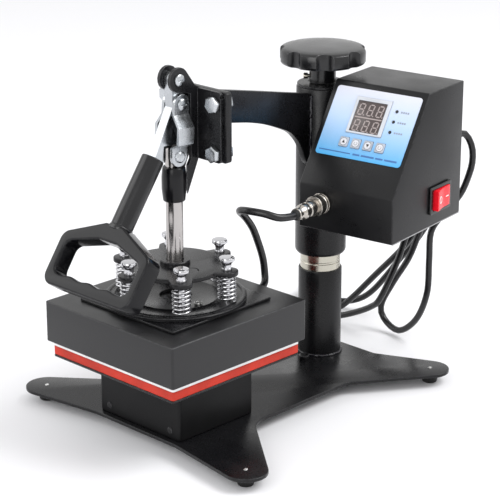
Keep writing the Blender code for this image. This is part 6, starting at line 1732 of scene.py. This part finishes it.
@dataclass
class Platen:
    """The heater's shell with its plates, dish and spring posts."""

    half: float = 0.0790
    shell_low: float = 0.0796
    shell_top: float = 0.1161
    shell_corner: float = 0.0022
    shell_inner_corner: float = 0.0010
    wall: float = 0.0015
    square_half: float = 0.0580
    square_corner: float = 0.0020
    square_low: float = 0.1164
    square_top: float = 0.1188
    dish_radius: float = 0.0610
    dish_rings: Outline = ((0.0535, 0.1215), (0.0531, 0.1217), (0.0525, 0.1217),
                           (0.0521, 0.1215), (0.0386, 0.1215), (0.0380, 0.1218),
                           (0.0370, 0.1218), (0.0364, 0.1215), (0.0140, 0.1215),
                           (0.0140, 0.1194))
    eye_at: Point = (0.0303, -0.0027, 0.1216)
    eye_radius: float = 0.0032
    eye_up: float = 0.0008
    eye_end: float = math.radians(306)
    eye_wire: float = 0.0007
    screw_radius: float = 0.0024
    screw_tall: float = 0.0014
    wool_half: float = 0.0760
    wool_corner: float = 0.0060
    wool_low: float = 0.0889
    wool_top: float = 0.1143
    tuft: float = 0.0012
    tuft_scale: float = 90.0
    post: Outline = ((0.0030, 0.1210), (0.0030, 0.1498), (0.0044, 0.1499), (0.0044, 0.1516),
                     (0.0039, 0.1520), (0.0038, 0.1546), (0.0043, 0.1562), (0.0060, 0.1578),
                     (0.0068, 0.1585), (0.0068, 0.1602), (0.0064, 0.1611), (0.0054, 0.1616),
                     (0.0030, 0.1618))

    def build(self, plunger: Plunger) -> None:
        """Make the stack from the heater up.

        Args:
            plunger: it knows where the posts stand.
        """
        dress(ALUMINIUM, "heater_plate")
        self.wool()
        self.shell()
        outline = rounded_box(self.square_half, self.square_half, self.square_corner)
        square = slab("square_sheet", outline, self.square_low, self.square_top)
        fit(soften(square, Edge.PUNCHED), BED, "platen", BLACK_PAINT, "square_plate")
        self.dish()
        self.spools(plunger)

    def wool(self) -> None:
        """The soft wool packed between the heater and the shell."""
        outline = rounded_box(self.wool_half, self.wool_half, self.wool_corner)
        mat = soften(slab("wool_mat", outline, self.wool_low, self.wool_top), Edge.WOOL)
        for _ in range(2):
            modify(mat, "SUBSURF", levels=1, render_levels=1, subdivision_type="SIMPLE")
        for vert in mat.data.vertices:
            vert.co -= vert.normal * (self.tuft * abs(noise.noise(vert.co * self.tuft_scale)))
        fit(mat, BED, "platen", WOOL, "insulation_pad")

    def shell(self) -> None:
        """The folded sheet shell, open below."""
        outer = rounded_box(self.half, self.half, self.shell_corner)
        inner = rounded_box(self.half - self.wall, self.half - self.wall,
                            self.shell_inner_corner)
        shell = soften(slab("heater_shell", outer, self.shell_low, self.shell_top), Edge.DRAWN)
        hollow = slab("hollow", inner, self.shell_low - OVERRUN, self.shell_top - self.wall)
        combine(shell, hollow, "DIFFERENCE")
        fit(shell, BED, "platen", SHEET_PAINT, "platen_shell")

    def dish(self) -> None:
        """The pressed dish with rings, and the small eye screw on it."""
        full = self.dish_radius
        dish = turned("pressed_dish", [
            (0.0140, 0.1192), (full - 0.0004, 0.1191), (full, 0.1194), (full, 0.1216),
            (full - 0.0008, 0.1223), (full - 0.0020, 0.1225), (full - 0.0034, 0.1224),
            (full - 0.0046, 0.1215), *self.dish_rings], steps=120)
        fit(dish, BED, "platen", BLACK_PAINT, "round_dish")
        ring = level_arc(self.eye_radius, self.eye_up, 0, self.eye_end, 34)
        eye = as_mesh(tube_curve("earth_ring", ring, self.eye_wire, 4))
        at = BED @ Matrix.Translation(self.eye_at)
        keep(settle(eye, at), "platen", STEEL_SCREW)
        keep(pan_screw("earth_screw", self.screw_radius, self.screw_tall, at), "platen",
             STEEL_SCREW)

    def spools(self, plunger: Plunger) -> None:
        """Turn one headed post, and copy it under each lobe."""
        spool = turned("post", self.post, steps=MEDIUM)
        for index, (x, y) in enumerate(plunger.places()):
            at = BED @ Matrix.Translation((x, y, 0))
            fit_twin(spool, f"spring_post_{index + 1}", at, "platen", CHROME)
        discard(spool)


@dataclass
class ControlBox:
    """The sheet-metal box with its panel, switch and inside."""

    left: float = BOX_LEFT
    right: float = 0.1226
    front: float = BOX_FRONT
    top_front: float = BOX_TOP_FRONT
    back: float = 0.0405
    low: float = 0.1611
    bend: float = BOX_BEND
    top: float = BOX_TOP
    sheet: float = 0.0015
    display_hole: tuple[float, float, float, float] = (0.0280, 0.0641, -0.0473, -0.0127)
    key_first: float = 0.0301
    key_pitch: float = 0.0122
    key_down: float = 0.0562
    key_half: float = 0.0044
    key_corner: float = 0.0012
    lamp: Outline = ((0.0015, -0.0010), (0.0015, 0.0009), (0.0013, 0.0013), (0.0008, 0.0015))
    lamp_x: float = 0.0708
    lamp_first: float = 0.0212
    lamp_pitch: float = 0.0097
    lamp_count: int = 3
    label_half: Pair = (0.0432, 0.03255)
    label_at: Pair = (0.0482, -0.03795)
    label_corner: float = 0.0030
    label_low: float = 0.0003
    label_high: float = 0.0007
    ink_thick: float = 0.00006
    frame_half: Pair = (0.01775, 0.0170)
    frame_at: Pair = (0.04605, -0.0300)
    window_half: Pair = (0.0147, 0.01455)
    window_at: Pair = (0.0457, -0.03095)
    segment_low: float = 0.00119
    segment_high: float = 0.00125
    digit_tall: float = 0.0100
    digit_wide: float = 0.0058
    digit_rows: Pair = (-0.0243, -0.0394)
    digit_columns: Point = (0.0363, 0.0457, 0.0551)
    strip: tuple[float, float, float, float] = (0.0320, 0.0594, -0.03235, -0.03125)
    legend_first: float = 0.0748
    legend_pitch: float = 0.0022
    legend_long: float = 0.0016
    legend_bars: int = 4
    legend_half: float = 0.0008
    line_at: float = -0.0660
    line_half: float = 0.0005
    line: Pair = (0.0080, 0.0400)
    words: Outline = ((0.0425, 0.0495), (0.0510, 0.0640), (0.0655, 0.0730), (0.0745, 0.0870))
    switch_at: Pair = (0.0023, 0.1847)
    bezel_half: Pair = (0.0178, 0.0125)
    block_half: Pair = (0.0150, 0.0110)
    pocket_half: Pair = (0.0142, 0.0097)
    rocker_half: float = 0.0132
    rocker_half_tall: float = 0.0092
    rocker_turn: float = math.radians(8)
    mark_tilt: float = math.radians(4.5)
    mark_out: float = 0.0046
    mark_share: float = 0.55

    def build(self) -> None:
        """Make the cover, then the panel and the switch."""
        self.cover()
        dress(BOX_PAINT, "box_tray")
        dress(CIRCUIT, "control_board")
        self.label()
        self.display()
        self.lamps()
        self.keys()
        self.prints()
        self.switch()

    def openings(self, low: float, high: float) -> list[bpy.types.Object]:
        """Cutters for the display and the keys, in the panel's frame."""
        outlines = [rectangle(*self.display_hole)]
        for index in range(4):
            middle = (self.key_first + self.key_pitch * index, -self.key_down)
            half = self.key_half + GAP
            outlines.append(rounded_box(half, half, self.key_corner, middle))
        return [slab("cutter", outline, low, high, place=PANEL) for outline in outlines]

    def cover(self) -> None:
        """The folded cover, open below and behind."""
        sheet = self.sheet
        outline = [(-self.front, self.low), (-self.front, self.bend), (-self.top_front, self.top),
                   (self.back, self.top), (self.back, self.low)]
        cover = slab("box_shell", outline, self.left, self.right, Plane.SIDE)
        soften(cover, Edge.ROUND)
        inside, roof = -self.front + sheet, self.top - sheet
        floor, behind = self.low - OVERRUN, self.back + OVERRUN
        inner = [(inside, floor), (inside, self.bend - 0.0005), (-self.top_front + 0.0007, roof),
                 (behind, roof), (behind, floor)]
        hollow = slab("hollow", inner, self.left + sheet, self.right - sheet, Plane.SIDE)
        combine(cover, hollow, "DIFFERENCE")
        settle(cover, SWING)
        for cutter in self.openings(-0.004, 0.002):
            combine(cover, cutter, "DIFFERENCE")
        keep(smooth(cover), "swing_head", BOX_PAINT, "box_cover")
        # Pale strip along the bottom right edge: the tray's sheet edge, coloured as a painted
        # highlight line.
        edge = rectangle(self.right - 0.0012, self.right + 0.0001, -self.front + 0.0016,
                         self.back - 0.0010)
        lip = slab("tray_lip", edge, self.low - 0.0005, self.low + 0.0003, place=SWING)
        keep(smooth(soften(lip, Edge.HAIR)), "swing_head", TRAY_EDGE_HIGHLIGHT)

    def label(self) -> None:
        """The printed film on the slope."""
        outline = rounded_box(*self.label_half, self.label_corner, self.label_at)
        label = slab("panel_film", outline, self.label_low, self.label_high, place=PANEL)
        for cutter in self.openings(-0.001, 0.002):
            combine(label, cutter, "DIFFERENCE")
        keep(smooth(label), "swing_head", LABEL_FILM, "panel_label")

    def display(self) -> None:
        """The framed window with two rows of three unlit numerals."""
        outer = rounded_box(*self.frame_half, 0.0008, self.frame_at)
        surround = soften(slab("display_frame", outer, -0.0060, 0.0017), Edge.MOULDED)
        window = rounded_box(*self.window_half, 0.0004, self.window_at)
        combine(surround, slab("cutter", window, 0.0008, 0.003), "DIFFERENCE")
        fit(surround, PANEL, "swing_head", FRAME_GREY, "display_module")
        pane = soften(slab("display_window", window, 0.0008, 0.0012), Edge.HAIR)
        fit(pane, PANEL, "swing_head", WINDOW)
        self.numerals()
        strip = slab("display_strip", rectangle(*self.strip), self.segment_low,
                     self.segment_high, place=PANEL)
        keep(strip, "swing_head", SEGMENT)

    def numerals(self) -> None:
        """Lay one segment seven times for each numeral, with its dot."""
        half = self.digit_tall / 2
        side = self.digit_wide / 2 - 0.0005
        bar = [(-0.0020, 0), (-0.0015, 0.00055), (0.0015, 0.00055), (0.0020, 0),
               (0.0015, -0.00055), (-0.0015, -0.00055)]
        flat = slab("segment", bar, self.segment_low, self.segment_high)
        spots = [(0, half, 0), (0, 0, 0), (0, -half, 0), (-side, half / 2, 90),
                 (side, half / 2, 90), (-side, -half / 2, 90), (side, -half / 2, 90)]
        number = 0
        for row in self.digit_rows:
            for column in self.digit_columns:
                parts = []
                for x, y, angle in spots:
                    at = (Matrix.Translation((column + x + 0.10 * y, row + y, 0))
                          @ Matrix.Rotation(math.radians(angle - 6 * (angle > 0)), 4, "Z")
                          @ Matrix.Scale(1.22 if angle else 0.95, 4, (1, 0, 0)))
                    parts.append(twin(flat, "numeral", at))
                dot = turned("numeral_dot", [(0.0006, self.segment_low),
                                             (0.0006, self.segment_high)],
                             Matrix.Translation((column + 0.0036, row - half, 0)), 16)
                number += 1
                self.as_one(parts + [dot], f"numeral_{number}", SEGMENT)
        discard(flat)

    def as_one(self, parts: list[bpy.types.Object], name: str, finish: Finish) -> None:
        """Join flat marks made in the panel's frame into one piece.

        Args:
            parts: the marks.
            name: the piece's name.
            finish: its finish.
        """
        deselect()
        for part in parts:
            part.select_set(True)
        bpy.context.view_layer.objects.active = parts[0]
        bpy.ops.object.join()
        parts[0].name = name
        keep(settle(parts[0], PANEL), "swing_head", finish)

    def lamps(self) -> None:
        """Three small round lamps, unlit."""
        lamp = turned("lamp", self.lamp, steps=28)
        for index in range(self.lamp_count):
            at = PANEL @ Matrix.Translation((self.lamp_x,
                                             -self.lamp_first - self.lamp_pitch * index, 0))
            fit_twin(lamp, f"signal_lamp_{index + 1}", at, "swing_head", LAMP)
        discard(lamp)

    def keys(self) -> None:
        """Four keys, each with its round field and a plain mark."""
        cap = slab("key", rounded_box(self.key_half, self.key_half, self.key_corner), -0.0040,
                   0.0017)
        soften(cap, Edge.MOULDED)
        triangle = [(-0.0016, -0.0012), (0.0016, -0.0012), (0, 0.0016)]
        marks = {"up": triangle, "set": None, "down": [(x, -y) for x, y in triangle],
                 "start": None}
        rim = level_arc(0.00335, 0.00172, 0, FULL_TURN, MEDIUM)
        ring = level_arc(0.0015, 0.00178, math.radians(120), math.radians(420), 40)
        for index, (name, mark) in enumerate(marks.items()):
            at = PANEL @ Matrix.Translation((self.key_first + self.key_pitch * index,
                                             -self.key_down, 0))
            body = f"{name}_button"
            fit_twin(cap, f"{name}_cap", at, body, KEY_GREY, f"{name}_key")
            disc = turned(f"{name}_field", [(0.0033, 0.0016), (0.0033, 0.00176)], at, MEDIUM)
            keep(smooth(disc), body, KEY_WHITE)
            keep(settle(as_mesh(tube_curve(f"{name}_rim", rim, 0.00014, 2)), at), body, KEY_MARK)
            if mark:
                keep(slab(f"{name}_mark", mark, 0.00175, 0.00184, place=at), body, KEY_MARK)
            else:
                keep(settle(as_mesh(tube_curve(f"{name}_mark", ring, 0.00016, 2)), at), body,
                     KEY_MARK)
        discard(cap)

    def printed_bar(self, start: float, end: float, middle: float, half: float
                    ) -> bpy.types.Object:
        """One plain bar of ink on the film."""
        return slab("print", rectangle(start, end, middle - half, middle + half),
                    self.label_low, self.label_high + self.ink_thick)

    def prints(self) -> None:
        """Plain printed bars beside the lamps and along the bottom."""
        legends = []
        for index in range(self.lamp_count):
            down = -self.lamp_first - self.lamp_pitch * index
            for bar in range(self.legend_bars):
                left = self.legend_first + bar * self.legend_pitch
                legends.append(self.printed_bar(left, left + self.legend_long, down,
                                                self.legend_half))
        parts = [self.printed_bar(*self.line, self.line_at, self.line_half)]
        for start, end in self.words:
            parts.append(self.printed_bar(start, end, self.line_at, self.legend_half))
        self.as_one(parts, "label_print", LABEL_INK)
        self.as_one(legends, "lamp_legends", PRINT_GREY)

    def switch(self) -> None:
        """The mains switch: its bezel and block, then the rocker in them."""
        behind, up = self.switch_at
        face = self.right + GAP
        outline = rounded_box(*self.bezel_half, 0.0016, self.switch_at)
        bezel = slab("switch_bezel", outline, face, face + 0.0020, Plane.SIDE)
        soften(bezel, Edge.PLATE)
        outline = rounded_box(*self.block_half, 0.0008, self.switch_at)
        block = slab("switch_block", outline, self.right - 0.0160, face + 0.0010, Plane.SIDE)
        combine(bezel, block, "UNION")
        outline = rounded_box(*self.pocket_half, 0.0004, self.switch_at)
        pocket = slab("pocket", outline, face - 0.0055, face + 0.0040, Plane.SIDE)
        combine(bezel, pocket, "DIFFERENCE")
        fit(bezel, SWING, "swing_head", KNOB_PLASTIC, "switch_body")
        self.rocker(SWING @ Matrix.Translation((face, behind, up))
                    @ Matrix.Rotation(self.rocker_turn, 4, "Z"))

    def rocker(self, pivot: Matrix) -> None:
        """The red rocker with a ring and a stroke on its two halves.

        Args:
            pivot: the frame whose +X leaves the rocker and whose +Z is its axis.
        """
        half, tall, tilt = self.rocker_half, self.rocker_half_tall, self.mark_tilt
        outline = [(-0.0025, -half * 0.9), (0.0050, -half), (0.0046, -half * 0.62),
                   (0.0041, -half * 0.25), (0.00395, 0), (0.0041, half * 0.25),
                   (0.0046, half * 0.62), (0.0050, half), (-0.0025, half * 0.9)]
        rocker = soften(slab("red_rocker", outline, -tall, tall), Edge.ROCKER)
        fit(rocker, pivot, "rocker", ROCKER_RED, "power_rocker")
        mark = half * self.mark_share
        ring = level_arc(0.0026, 0, 0, FULL_TURN, MEDIUM, 0.0030 / 0.0026)
        at = pivot @ aim((math.cos(tilt), math.sin(tilt), 0), (self.mark_out, -mark, 0))
        keep(settle(as_mesh(tube_curve("rocker_ring", ring, 0.00038, 3)), at), "rocker",
             MARK_WHITE)
        at = pivot @ aim((math.cos(tilt), -math.sin(tilt), 0), (self.mark_out, mark, 0))
        stroke = slab("rocker_stroke", rectangle(-0.0026, 0.0026, -0.0004, 0.0004), -0.0004,
                      0.0003, place=at)
        keep(smooth(stroke), "rocker", MARK_WHITE)


def main() -> None:
    """Build every part of the picture in order."""
    logging.basicConfig(level=logging.INFO, format="%(name)s: %(message)s")
    Studio().build()
    MainsLead().build()
    HeaterLead().build()
    Base().build()
    Column().build()
    HeadArm().build()
    Lever().build()
    plunger = Plunger()
    plunger.build()
    Platen().build(plunger)
    ControlBox().build()
    dress(BRONZE, "slide_liner")


if __name__ == "__main__":
    main()
